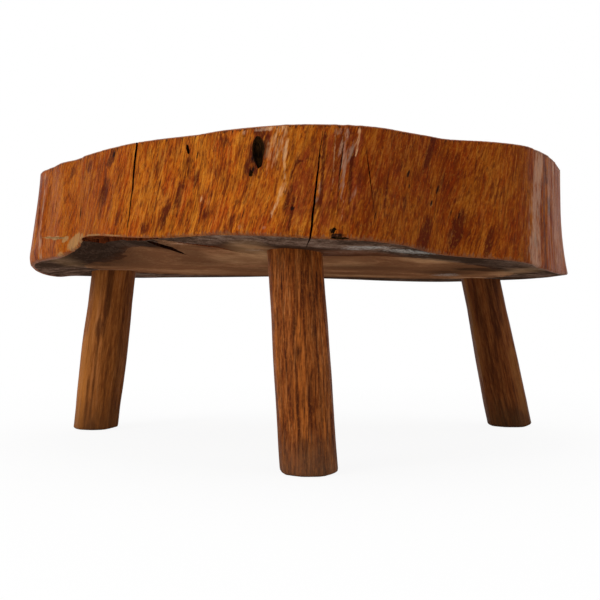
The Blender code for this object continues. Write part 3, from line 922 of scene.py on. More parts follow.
def edge_relief(bearing, height_share):
    """How deep the grown edge lies under its outermost skin: flutes, ridges and swellings."""
    turn = math.radians(bearing - grain_lean(bearing) * (height_share - 0.5))
    waves = sum(part * math.sin(count * turn + phase) for count, phase, part in FLUTE_WAVES)
    depth = FLUTE_DEPTH * (1 + waves) / 2
    around = Vector((math.cos(turn), math.sin(turn))) * SLAB_DEPTH / 2
    height = height_share * THICKNESS_MIDDLE
    for across, along, cut in RIDGES:
        seed = cut * RIDGE_SEED
        depth += cut * (uneven(around.x / across, around.y / across, height / along + seed) + 1) / 2
    return depth - swell(bearing, height_share)


def edge_wear(bearing):
    """Where the lower edge is worn round: 1 at the left end, 0 elsewhere."""
    return sum(smooth((wrapped(bearing) - start) / span) for start, span in WEAR_STARTS)


def edge_point(bearing, height_share, inset=0, rise=0):
    """A point of the grown edge, between its lower and its top arris."""
    held = min(max(height_share, 0), 1)
    reach, lean, lift, _ = rim_at(bearing)
    rim = oval(bearing, reach)
    hollow = WALL_HOLLOW + WALL_HOLLOW_SWING * math.cos(math.radians(bearing))
    leaned = WALL_LEAN * lean * (1 - (1 - held) ** hollow)
    worn = WEAR_DEPTH * edge_wear(bearing) * max(1 - held / WEAR_HEIGHT, 0) ** 2
    inset = inset + worn + leaned + edge_relief(bearing, held)
    plan = rim * (1 - inset / rim.length)
    low = belly_height(rim.x) + EDGE_LIFT * lift + LOWER_ARRIS
    z = low + (HEIGHT - TOP_ARRIS - low) * height_share + rise
    return Vector((plan.x, plan.y, z))


def under_relief(plan):
    """What the adze left on the underside: shallow scoops and ripples."""
    across, along, cut = ADZE_CUT
    cell = Vector((plan.x / across, plan.y / along, 0.5))
    scoop = noise.voronoi(cell, distance_metric="DISTANCE")[0][0]
    across, along, depth = ADZE_RIPPLE
    return cut * min(scoop, 1) ** 2 + depth * uneven(plan.x / across, plan.y / along, 3)


def turned_blank(profile, columns):
    """A closed blank turned from (reach, level) points, the first and last of them on the axis.
    It is a sheet rolled round the axis and closed, which is far quicker than spinning it."""
    bm = bmesh.new()
    rows = len(profile) - 1
    bmesh.ops.create_grid(bm, x_segments=columns, y_segments=rows, size=0.5)
    for vert in bm.verts:
        turn = (vert.co.x + 0.5) * math.tau
        reach, level = profile[round((vert.co.y + 0.5) * rows)]
        vert.co = Vector((reach * math.cos(turn), reach * math.sin(turn), level))
    bmesh.ops.remove_doubles(bm, verts=bm.verts, dist=WELD)
    bmesh.ops.recalc_face_normals(bm, faces=bm.faces)
    return bm


def face_outwards(bm):
    """Turns a closed mesh's faces outwards, also where it is thin and bent."""
    bmesh.ops.recalc_face_normals(bm, faces=bm.faces)
    if bm.calc_volume(signed=True) < 0:
        bmesh.ops.reverse_faces(bm, faces=bm.faces)


def new_piece(name, bm, *materials):
    """An object from a finished bmesh, with its materials."""
    mesh = bpy.data.meshes.new(name)
    bm.to_mesh(mesh)
    bm.free()
    for material in materials:
        mesh.materials.append(material)
    piece = bpy.data.objects.new(name, mesh)
    bpy.context.scene.collection.objects.link(piece)
    return piece


def cut_away(piece, cutters):
    """Cuts every cutter out of the piece, keeps the cut faces' material, and clears up."""
    for cutter in cutters:
        modifier = piece.modifiers.new(cutter.name, "BOOLEAN")
        modifier.operation = "DIFFERENCE"
        modifier.solver = "MANIFOLD"
        modifier.material_mode = "TRANSFER"
        modifier.object = cutter
    bpy.context.view_layer.update()
    shaped = piece.evaluated_get(bpy.context.evaluated_depsgraph_get())
    mesh = bpy.data.meshes.new_from_object(shaped)
    piece.modifiers.clear()
    piece.data = mesh
    for cutter in cutters:
        bpy.data.objects.remove(cutter)


def shade(piece, crease):
    """Shades a piece smooth, but keeps edges sharper than so many degrees."""
    piece.data.shade_smooth()
    piece.data.set_sharp_from_angle(angle=math.radians(crease))


def points_of(piece):
    """The places of a piece's points, a row for each."""
    points = np.zeros(len(piece.data.vertices) * 3)
    piece.data.vertices.foreach_get("co", points)
    return points.reshape(-1, 3)


def write_values(piece, name, values, kind="FLOAT"):
    """Writes a value, or a place, on each point of a piece for its material to read."""
    attribute = piece.data.attributes.new(name, kind, "POINT")
    attribute.data.foreach_set("vector" if kind == "FLOAT_VECTOR" else "value", values.ravel())


class Axis:
    """A pole's line, from the middle of its foot to the middle of its shoulder."""

    def __init__(self, pole):
        half = Vector((SLAB_WIDTH / 2, SLAB_DEPTH / 2))
        head = Vector(pole.head_shares) * half
        foot = Vector(pole.foot_shares) * half
        self.shoulder = underside_height(head) + SEAT_DEPTH
        self.foot = Vector((foot.x, foot.y, 0))
        self.head = Vector((head.x, head.y, self.shoulder))
        self.direction = (self.head - self.foot).normalized()

    def placed(self, distance):
        """Puts what stands at the origin on the line, so far past the shoulder."""
        turn = self.direction.to_track_quat("Z", "Y").to_matrix().to_4x4()
        return Matrix.Translation(self.head + self.direction * distance) @ turn

    def slice_offset(self, offset):
        """Stretches a level slice, so that the pole is round across its own axis."""
        along = self.direction.xy.normalized()
        return offset + along * offset.dot(along) * (1 / self.direction.z - 1)


def hewn_share(turn, flats):
    """Radius share of a pole dressed to flats, at a turn round it."""
    step = math.tau / flats
    from_middle = turn % step - step / 2
    flat = math.cos(step / 2) / math.cos(from_middle)
    return 1 - HEWN_SHARE * (1 - flat)


def pole_point(pole, axis, turn, reach, height_share, detail=0, gap=0):
    """A point of a pole's level slice. Detail adds the drawknife's waver and the open grain."""
    girth = through(pole.girth_shares, height_share)[0]
    radius = (pole.diameter / 2 * girth + gap) * hewn_share(turn, pole.flats)
    if detail:
        round_it = Vector((math.cos(turn), math.sin(turn)))
        waver, groove, fibre = (
            depth * uneven(*(round_it * round_count), height_share * up_count + pole.flats_turn)
            for round_count, up_count, depth in KNIFE_MARKS
        )
        radius += detail * (waver - abs(groove) - fibre)
    aim = turn + math.radians(pole.flats_turn)
    offset = axis.slice_offset(Vector((math.cos(aim), math.sin(aim))) * radius * reach)
    middle = axis.foot.lerp(axis.head, height_share)
    return Vector((middle.x + offset.x, middle.y + offset.y, axis.shoulder * height_share))


def box_block(matrix, width, head, tip, length):
    """A wedge-shaped block that points down its own Z."""
    bm = bmesh.new()
    bmesh.ops.create_cube(bm, size=1)
    for vert in bm.verts:
        thickness = head if vert.co.z > 0 else tip
        vert.co = Vector((vert.co.x * width, vert.co.y * thickness, vert.co.z * length))
    bm.transform(matrix)
    return bm


def strip_strength(turns, heights, strips):
    """How strongly each point of a pole is marked by the strips of a table."""
    strength = np.zeros(len(turns))
    for middle, half_width, low, high, force in strips:
        away = np.abs(wrapped(turns - middle)) / half_width
        past = np.maximum(low - heights, 0) + np.maximum(heights - high, 0)
        strength = marked(strength, away * STRIP_SHARPNESS + past * STRIP_END_SHARPNESS, force)
    return strength


def note_strips(piece, pole, axis):
    """Writes on each point of a pole its strips, and where it lies on the pole made upright."""
    points = points_of(piece)
    along = points[:, 2:] / axis.shoulder
    points[:, :2] -= np.array(axis.foot.xy) * (1 - along) + np.array(axis.head.xy) * along
    turns = np.degrees(np.arctan2(points[:, 1], points[:, 0]))
    heights = points[:, 2] / axis.shoulder
    write_values(piece, "dark_strip", strip_strength(turns, heights, pole.dark_strips))
    write_values(piece, "light_strip", strip_strength(turns, heights, pole.light_strips))
    points[:, 0] -= points[:, 2] * pole.grain_slant
    points[:, :2] += pole.flats_turn
    write_values(piece, "fibre", points, "FLOAT_VECTOR")


def pole_profile(pole, shoulder, tenon_reach):
    """A pole's profile as (reach, level): 0 is the floor, 1 the shoulder, 2 the tenon's end."""
    profile = [(0, 0), (SOLE_RING, 0)]
    for step in range(FOOT_STEPS + 1):
        turn = math.pi / 2 * step / FOOT_STEPS
        inset = FOOT_ARRIS * (1 - math.sin(turn)) / (pole.diameter / 2)
        profile.append((1 - inset, FOOT_ARRIS * (1 - math.cos(turn)) / shoulder))
    start = profile[-1][1]
    profile += [(1, start + (1 - start) * step / POLE_LEVELS) for step in range(1, POLE_LEVELS + 1)]
    return profile + [(tenon_reach, level) for level in TENON_LEVELS] + [(0, TENON_LEVELS[-1])]


def make_pole(pole, side_wood, end_wood):
    """The hewn pole, from its eased foot to its shoulder, with the tenon and the wedge's kerf."""
    axis = Axis(pole)
    neck = pole.diameter / 2 * pole.girth_shares[-1][1]
    profile = pole_profile(pole, axis.shoulder, TENON_DIAMETER / 2 / neck)
    bm = turned_blank(profile, POLE_COLUMNS)
    sole = SOLE_SHARE * FOOT_ARRIS / axis.shoulder
    for face in bm.faces:
        level = face.calc_center_median().z
        face.material_index = 1 if level < sole or level > 1 else 0
    for vert in bm.verts:
        turn = math.atan2(vert.co.y, vert.co.x) % math.tau
        reach, level = vert.co.xy.length, vert.co.z
        if level <= 1:
            calm = smooth((1 - level) / CALM_HEAD) * smooth(level / CALM_FOOT)
            vert.co = pole_point(pole, axis, turn, reach, level, calm)
            off = (vert.co.x - axis.foot.x) / (pole.diameter / 2)
            worn = smooth((off - FOOT_WEAR_START) / FOOT_WEAR_SPAN)
            vert.co.z = max(vert.co.z, pole.foot_wear * worn)
        else:
            ring = Vector((math.cos(turn), math.sin(turn), 0)) * neck * reach
            ring.z = TENON_LENGTH * (level - 1)
            vert.co = axis.placed(0) @ ring
    piece = new_piece("pole_" + pole.name, bm, side_wood, end_wood)
    kerf_length = WEDGE_LENGTH + FIT_GAP
    kerf = box_block(
        axis.placed(TENON_LENGTH - kerf_length / 2),
        TENON_DIAMETER * KERF_OVERREACH,
        WEDGE_HEAD + 2 * FIT_GAP,
        WEDGE_TIP + 2 * FIT_GAP,
        kerf_length + FIT_GAP,
    )
    cut_away(piece, [new_piece("kerf", kerf, end_wood)])
    note_strips(piece, pole, axis)
    shade(piece, POLE_CREASE)
    return piece


def joint_cutters(pole, material):
    """The seat for the pole's shoulder and the blind mortise for its tenon. Both cutters start
    below the wood."""
    axis = Axis(pole)
    mouth = 1 - SEAT_DROP / axis.shoulder
    roof = 1 + FIT_GAP / axis.shoulder
    seat = turned_blank([(0, mouth), (1, mouth), (1, roof), (0, roof)], POLE_COLUMNS)
    for vert in seat.verts:
        turn = math.atan2(vert.co.y, vert.co.x) % math.tau
        reach, level = vert.co.xy.length, vert.co.z
        point = pole_point(pole, axis, turn, reach, min(level, 1), gap=FIT_GAP)
        vert.co = Vector((point.x, point.y, axis.shoulder * level))
    bore = bmesh.new()
    length = TENON_LENGTH + FIT_GAP + BORE_DROP
    bmesh.ops.create_cone(
        bore,
        cap_ends=True,
        segments=BORE_SEGMENTS,
        radius1=TENON_DIAMETER / 2 + FIT_GAP,
        radius2=TENON_DIAMETER / 2 + FIT_GAP,
        depth=length,
        matrix=axis.placed(length / 2 - BORE_DROP),
    )
    return [new_piece("seat", seat, material), new_piece("mortise", bore, material)]


def plate(depth_steps, height_steps):
    """A thin upright plate: x is its depth and y its height, both 0 to 1, and z is -1 or 1."""
    bm = bmesh.new()
    bmesh.ops.create_grid(bm, x_segments=depth_steps, y_segments=height_steps, size=0.5)
    bmesh.ops.solidify(bm, geom=bm.faces[:] + bm.edges[:] + bm.verts[:], thickness=1)
    low = min(vert.co.z for vert in bm.verts)
    for vert in bm.verts:
        vert.co = Vector((vert.co.x + 0.5, vert.co.y + 0.5, (vert.co.z - low) * 2 - 1))
    bmesh.ops.recalc_face_normals(bm, faces=bm.faces)
    return bm


def split_cutter(name, path, depth, waver, material):
    """A drying split through the edge, on a path of (height share, bearing, width). It starts
    outside the wood and narrows inwards."""
    heights, bearings, widths = zip(*path)
    bm = plate(10, 44)
    for vert in bm.verts:
        inward_share, side = vert.co.x, vert.co.z
        height_share = heights[0] + (heights[-1] - heights[0]) * vert.co.y
        outer = edge_point(between(height_share, heights, bearings), height_share)
        inward = Vector((-outer.x, -outer.y, 0)).normalized()
        across = Vector((-inward.y, inward.x, 0))
        width = between(height_share, heights, widths) * (1 - SPLIT_NARROWING * inward_share)
        drift = waver * uneven(height_share * 7, inward_share * 3, bearings[0])
        rough = SPLIT_ROUGHNESS * uneven(height_share * 40, inward_share * 9, side * 5)
        reach = -SPLIT_START + (depth + SPLIT_START) * inward_share
        aside = side * (width / 2 + SPLIT_LEAST) + drift + rough
        place = outer + inward * reach + across * aside
        place.z = outer.z
        vert.co = place
    face_outwards(bm)
    return new_piece(name, bm, material)


def path_row(path, along):
    """The row at a share of the way through the evenly spaced rows of a path."""
    places = np.linspace(0, 1, len(path))
    return [between(along, places, column) for column in zip(*path)]


def gouge_cutter(name, path, material, ragged=0.35):
    """A scar along the edge, on a path of (bearing, height share, width, depth)."""
    steps = GOUGE_STEPS * (len(path) - 1)
    rings = [(1, step / steps) for step in range(steps + 1)]
    bm = turned_blank([(0, 0), *rings, (0, 1)], GOUGE_COLUMNS)
    for vert in bm.verts:
        along, reach = vert.co.z, vert.co.xy.length
        turn = math.atan2(vert.co.y, vert.co.x)
        bearing, share, width, depth = path_row(path, along)
        middle = edge_point(bearing, share)
        ahead = GOUGE_LOOK if along < 1 else -GOUGE_LOOK
        later = edge_point(*path_row(path, along + ahead)[:2])
        forward = ((later - middle) / ahead).normalized()
        outward = Vector((middle.x, middle.y, 0)).normalized()
        across = forward.cross(outward).normalized()
        taper = math.sin(math.pi * min(max(along, TIP_SHARE), 1 - TIP_SHARE)) ** 0.5
        lump = 1 + ragged * uneven(along * steps * 0.7, turn, path[0][0])
        girth = taper * lump * reach
        aside = across * math.cos(turn) * (width / 2 * girth)
        vert.co = middle + aside + outward * math.sin(turn) * (depth * girth)
    face_outwards(bm)
    return new_piece(name, bm, material)


def hollow_cutter(name, bearing, height_share, size, turn, roughness, material, taper=0):
    """A rotted or broken hollow in the edge: a lumpy ball, wide, deep and high as given, which
    may taper downwards."""
    centre = edge_point(bearing, height_share)
    outward = Vector((centre.x, centre.y, 0)).normalized()
    placed = outward.to_track_quat("Y", "Z").to_matrix().to_4x4()
    tilt = Matrix.Rotation(math.radians(turn), 4, "Y")
    wide, deep, high = size
    bm = bmesh.new()
    bmesh.ops.create_icosphere(bm, subdivisions=4, radius=1)
    for vert in bm.verts:
        x, y, z = vert.co
        lumps = noise.noise(vert.co * HOLLOW_LUMP_SCALE + Vector((bearing, 0, 0)))
        lump = 1 + roughness * lumps
        pointed = 1 - taper * smooth((HOLLOW_TAPER_START - z) / HOLLOW_TAPER_SPAN)
        vert.co = Vector((x * wide / 2 * lump * pointed, y * deep * lump, z * high / 2 * lump))
    bm.transform(Matrix.Translation(centre) @ placed @ tilt)
    return new_piece(name, bm, material)


def ledge_cutter(material):
    """The torn ledge: a splinter is gone from under the front left edge."""
    first, last = LEDGE_BEARINGS
    bm = plate(14, 60)
    for vert in bm.verts:
        inward_share, along_share, top = vert.co.x, vert.co.y, vert.co.z > 0
        bearing = first + (last - first) * along_share
        narrowed = 1 - LEDGE_NARROWING * along_share
        ends = smooth(along_share / LEDGE_ENDS[0]) * narrowed
        ends *= smooth((1 - along_share) / LEDGE_ENDS[1])
        outer = edge_point(bearing, 0, rise=-LOWER_ARRIS)
        inward = Vector((-outer.x, -outer.y, 0)).normalized()
        ragged = uneven(along_share * 24, 0, 5)
        fine = uneven(along_share * 90, 0, 2)
        width = LEDGE_LEAST + LEDGE_WIDTH * ends + LEDGE_RAGGED * ragged * ends
        place = outer + inward * (-LEDGE_START + (width + LEDGE_START) * inward_share)
        if top:
            roof = outer.z + LEDGE_ROOF_LEAST + LEDGE_HEIGHT * ends
            place.z = roof + LEDGE_ROOF_WAVES * ragged * ends + LEDGE_ROOF_FIBRES * fine
        else:
            place.z = outer.z - LEDGE_DROP
        vert.co = place
    face_outwards(bm)
    return new_piece("torn_ledge", bm, material)


def before_step(place):
    """Whether a point lies in the band between the front rim and the step."""
    xs, near = zip(*STEP_LINE)
    return xs[0] < place.x < xs[-1] and place.y < between(place.x, xs, near)


def step_cutter(material, step_shadow_material):
    """The far part of the underside, hewn a little deeper than the band along its front rim. A strip
    just behind the band's edge takes the second material as painted shadow.
    """
    xs, near = zip(*STEP_LINE)
    bm = plate(16, 48)
    for vert in bm.verts:
        back_share, along_share, top = vert.co.x, vert.co.y, vert.co.z > 0
        x = xs[0] + (xs[-1] - xs[0]) * along_share
        start = between(x, xs, near) + STEP_RAGGED * uneven(x / STEP_WAVE, 0, 8)
        y = start + STEP_REACH * back_share
        plan = Vector((x, y))
        ends = smooth(along_share / STEP_ENDS[0]) * smooth((1 - along_share) / STEP_ENDS[1])
        fade = smooth((1 - back_share) / STEP_FADE)
        roof = underside_height(plan) + under_relief(plan)
        if top:
            z = roof - STEP_SINK + (STEP_HEIGHT + STEP_SINK) * ends * fade
        else:
            z = roof - STEP_DROP
        vert.co = Vector((x, y, z))
    face_outwards(bm)
    # The strip just behind the step's edge takes the dark torn wood as painted shadow
    left, right = STEP_SHADOW_ENDS
    for face in bm.faces:
        middle = face.calc_center_median()
        behind = middle.y - between(middle.x, xs, near)
        face.material_index = 1 if behind < STEP_SHADOW_WIDTH and left < middle.x < right else 0
    return new_piece("hewn_step", bm, material, step_shadow_material)


def shake_cutter(material):
    """A shake that opens in the underside behind the ledge and closes inwards."""
    start, end = Vector(SHAKE_ENDS[0]), Vector(SHAKE_ENDS[1])
    inward = end - start
    across = Vector((-inward.y, inward.x)).normalized()
    bm = bmesh.new()
    bmesh.ops.create_icosphere(bm, subdivisions=4, radius=1)
    for vert in bm.verts:
        along_share = (vert.co.x + 1) / 2
        lump = 1 + SHAKE_LUMPS * noise.noise(vert.co * SHAKE_LUMP_SCALE)
        taper = (1 - along_share) ** 0.8 + SHAKE_LEAST
        wide = vert.co.y * SHAKE_HALF_WIDTH * lump * taper
        place = start + inward * along_share + across * wide
        roof = underside_height(place) + SHAKE_RISE
        vert.co = Vector((place.x, place.y, roof + vert.co.z * SHAKE_DEPTH * lump * taper))
    face_outwards(bm)
    return new_piece("shake", bm, material)


def heart_check_cutter(bearing, start, end, width, depth, material):
    """A drying check in the sawn top that runs outwards from the heart."""
    aim = Vector((math.cos(math.radians(bearing)), math.sin(math.radians(bearing)), 0))
    across = Vector((-aim.y, aim.x, 0))
    bm = plate(3, 30)
    for vert in bm.verts:
        down, along, side = vert.co
        held = min(max(along, TIP_SHARE), 1 - TIP_SHARE)
        taper = math.sin(math.pi * held) ** 0.8 * (1 - 0.8 * down)
        drift = CHECK_DRIFT * uneven(along * 5, bearing, 0)
        reach = start + (end - start) * along
        vert.co = aim * reach + across * (drift + side * width / 2 * taper)
        vert.co.z = HEIGHT + CHECK_START - (depth + CHECK_START) * down
    face_outwards(bm)
    return new_piece(f"heart_check_{bearing}", bm, material)


def slab_profile():
    """The slice's profile as (reach, level): 2 is the top, 1 to 0 the edge, -1 the underside."""
    profile = [(reach, 2) for reach in TOP_REACHES]
    profile += [(1, 2 - step / TOP_STEPS) for step in range(1, TOP_STEPS + 1)]
    for step in range(1, WALL_LEVELS + 1):
        profile.append((1, 1 - (step / WALL_LEVELS) ** WALL_CROWDING))
    profile += [(1, -step / LOWER_STEPS) for step in range(1, LOWER_STEPS + 1)]
    profile += [(reach, -1) for reach in UNDER_REACHES]
    return profile


def slab_point(turn, reach, level):
    """Where a point of the turned blank goes on the slice."""
    from_front = math.radians(turn + 90)
    column = turn - math.degrees(FRONT_CROWDING * math.sin(from_front))
    held = min(max(level, 0), 1)
    bearing = column + grain_lean(column) * (held - 0.5)
    if level >= 1:
        ease = math.pi / 2 * (level - 1)
        arris = TOP_ARRIS * (1 + max(uneven(bearing * 1.7, 0, 9), 0) * TOP_CHIPPING)
        point = edge_point(bearing, 1, arris * (1 - math.cos(ease)), TOP_ARRIS * math.sin(ease))
        if reach < 1:
            saw = SAW_MARKS * uneven(point.x * reach * 60, point.y * reach * 400, 1)
            return Vector((point.x * reach, point.y * reach, HEIGHT - abs(saw)))
        return point
    if level >= 0:
        return edge_point(bearing, level)
    ragged = 1 + LOWER_RAGGED * uneven(bearing * 0.9, 0, 4)
    arris = LOWER_ARRIS * ragged + (WORN_ARRIS - LOWER_ARRIS) * edge_wear(bearing)
    ease = math.pi / 2 * -level
    inset = arris * (1 - math.cos(ease))
    point = edge_point(bearing, 0, inset, -LOWER_ARRIS * math.sin(ease))
    if reach == 1 and level > -1:
        return point
    plan = point.xy * reach
    settle = smooth((1 - reach) / SETTLE_SHARE)
    return Vector((plan.x, plan.y, underside_height(plan) + under_relief(plan) * settle))


def slab_blank():
    """The slice before anything is cut out of it, with a material on each face."""
    bm = turned_blank(slab_profile(), SLAB_COLUMNS)
    for face in bm.faces:
        middle = face.calc_center_median()
        wander = BAND_RAGGED * noise.noise(middle.xy.to_3d() * 6)
        if middle.z > 1:
            face.material_index = TOP
        elif middle.z > -0.9:
            face.material_index = EDGE
        else:
            face.material_index = BAND if middle.xy.length > BAND_START + wander else UNDER
    for vert in bm.verts:
        turn = math.degrees(math.atan2(vert.co.y, vert.co.x))
        vert.co = slab_point(turn, round(vert.co.xy.length, 6), round(vert.co.z, 6))
    for face in bm.faces:
        if face.material_index == UNDER and any(before_step(vert.co) for vert in face.verts):
            face.material_index = BAND
    return bm


def fit_to(bm, box):
    """Stretches the blank a hair in plan, so that it just fills the solid's width and depth, and
    returns that stretch for what is cut out of it."""
    fit = Matrix.Identity(4)
    for axis in (0, 1):
        low = min(vert.co[axis] for vert in bm.verts)
        high = max(vert.co[axis] for vert in bm.verts)
        fit[axis][axis] = (box[1][axis] - box[0][axis]) / (high - low)
        fit[axis][3] = box[0][axis] - low * fit[axis][axis]
    bm.transform(fit)
    return fit


def mark_strength(bearings, heights, radii, marks):
    """How strongly each point is marked, from a table of spots that lean with the grain."""
    strength = np.zeros(len(bearings))
    for bearing, share, half_width, half_height, force in marks:
        rise = (heights - share) * THICKNESS_MIDDLE
        lean = math.radians(grain_lean(bearing)) * SLAB_DEPTH / 2 / THICKNESS_MIDDLE
        aside = np.radians(wrapped(bearings - bearing)) * radii - rise * lean
        away = np.sqrt((aside / half_width) ** 2 + (rise / half_height) ** 2)
        strength = marked(strength, away, force)
    return strength


def line_strength(bearings, heights, radii, lines):
    """How strongly each point is marked by the lines of a table."""
    strength = np.zeros(len(bearings))
    for force, path in lines:
        shares, middles, half_widths = zip(*path)
        aside = np.radians(wrapped(bearings - np.interp(heights, shares, middles))) * radii
        past = np.maximum(shares[0] - heights, 0) + np.maximum(heights - shares[-1], 0)
        away = np.abs(aside) / np.interp(heights, shares, half_widths) + past * LINE_END_SHARPNESS
        strength = marked(strength, away * LINE_SHARPNESS, force)
    return strength


def note_grain(piece):
    """Writes on each point where its fibre crosses mid height, its ring, and its marks."""
    points = points_of(piece)
    x, y, z = points.T
    bearings = np.degrees(np.arctan2(y / SLAB_DEPTH, x / SLAB_WIDTH))
    radii = np.hypot(x, y)
    steps = np.linspace(-180, 180, 721)
    reach = np.interp(bearings, steps, [rim_at(step)[0] for step in steps])
    lift = np.interp(bearings, steps, [rim_at(step)[2] for step in steps])
    rim_x = SLAB_WIDTH / 2 * reach * np.cos(np.radians(bearings))
    rim_y = SLAB_DEPTH / 2 * reach * np.sin(np.radians(bearings))
    rim = np.hypot(rim_x, rim_y)
    low = belly_height(rim_x) + EDGE_LIFT * lift + LOWER_ARRIS
    heights = (z - low) / (HEIGHT - TOP_ARRIS - low)
    leans = [grain_lean(step) for step in steps]
    lean = np.radians(np.interp(bearings, steps, leans)) * (np.clip(heights, 0, 1) - 0.5)
    back_x = x * np.cos(-lean) - y * np.sin(-lean)
    back_y = x * np.sin(-lean) + y * np.cos(-lean)
    write_values(piece, "fibre", np.stack((back_x, back_y, z), axis=1), "FLOAT_VECTOR")
    lobed = np.clip(radii / rim, 0, 1) ** RING_LOBES
    write_values(piece, "ring", radii / (lobed * rim / (SLAB_DEPTH / 2) + 1 - lobed))
    write_values(piece, "height_share", heights)
    for name, marks in MARKS.items():
        strength = mark_strength(bearings, heights, radii, marks)
        if name in LINES:
            lines = line_strength(bearings, heights, radii, LINES[name])
            strength = np.maximum(strength, lines)
        write_values(piece, name, strength)
    for name, marks in UNDER_MARKS.items():
        strength = np.zeros(len(points))
        for middle_x, middle_y, half_length, half_depth, force in marks:
            away = np.hypot((x - middle_x) / half_length, (y - middle_y) / half_depth)
            strength = marked(strength, away, force)
        write_values(piece, name, strength)


def grain(tree, place, layers):
    """Adds layers of noise drawn out along the fibre. A layer is its size across in mm, how many
    times longer it is, its detail, its roughness and its weight. The sum lies round 0.5."""
    # Real pores and fibres are 0.1 to 0.3 mm wide. They are too fine for the render, where a pixel
    # is 1 mm of the front edge, so the finest layers are drawn 1.4 to 2.4 mm wide
    total = 0.5
    for size, stretch, detail, roughness, weight in layers:
        drawn = add_node(tree, "Mapping", {"Vector": place, "Scale": (1, 1, 1 / stretch)})
        settings = {"Scale": per_mm(size), "Detail": detail, "Roughness": roughness}
        layer = add_node(tree, "TexNoise", {"Vector": drawn, **settings})
        centred = add_node(tree, "Math", {0: layer, 1: 0.5}, operation="SUBTRACT")
        total = add_node(tree, "Math", {0: centred, 1: weight, 2: total}, operation="MULTIPLY_ADD")
    return total


def broken_mark(tree, name, pattern, gain, offset):
    """A mark noted on the points, broken up by a pattern of the grain times a gain."""
    share = add_node(tree, "Math", {0: pattern, 1: gain, 2: offset}, operation="MULTIPLY_ADD")
    mark = add_node(tree, "Attribute", attribute_name=name).outputs["Fac"]
    return add_node(tree, "Math", {0: mark, 1: share}, operation="MULTIPLY")


def finish_wood(tree, shader, colour, relief, gloss=None):
    """Gives the shader its colour and its relief, as height, depth in metres and strength. Where
    the varnish varies, gloss is the value it follows, that value's low and high end, and the
    roughness at each."""
    height, depth, strength = relief
    bump = add_node(tree, "Bump", {"Height": height, "Distance": depth, "Strength": strength})
    connect(tree, shader, {"Base Color": colour, "Normal": bump})
    if gloss:
        names = ("Value", "From Min", "From Max", "To Min", "To Max")
        rough = add_node(tree, "MapRange", dict(zip(names, gloss)))
        connect(tree, shader, {"Roughness": rough})


def laid_over(tree, colour, layers):
    """Lays tints over a colour. A layer is a value, where it starts, where it is full, its share
    there, and its tint."""
    for value, start, full, most, tint in layers:
        limits = {"Value": value, "From Min": start, "From Max": full, "To Max": most}
        share = add_node(tree, "MapRange", limits)
        mixed = add_node(tree, "Mix", {0: share, 6: colour, 7: linear(tint)}, data_type="RGBA")
        colour = mixed.outputs[2]
    return colour


def swayed(tree, place, size, sway):
    """A place that sways by a few mm in waves of a size in mm, so that grain isn't ruled."""
    drift = add_node(tree, "TexNoise", {"Vector": place, "Scale": per_mm(size), "Detail": 1})
    shift = {0: drift.outputs["Color"], 1: (sway, sway, 0), 2: place}
    return add_node(tree, "VectorMath", shift, operation="MULTIPLY_ADD")


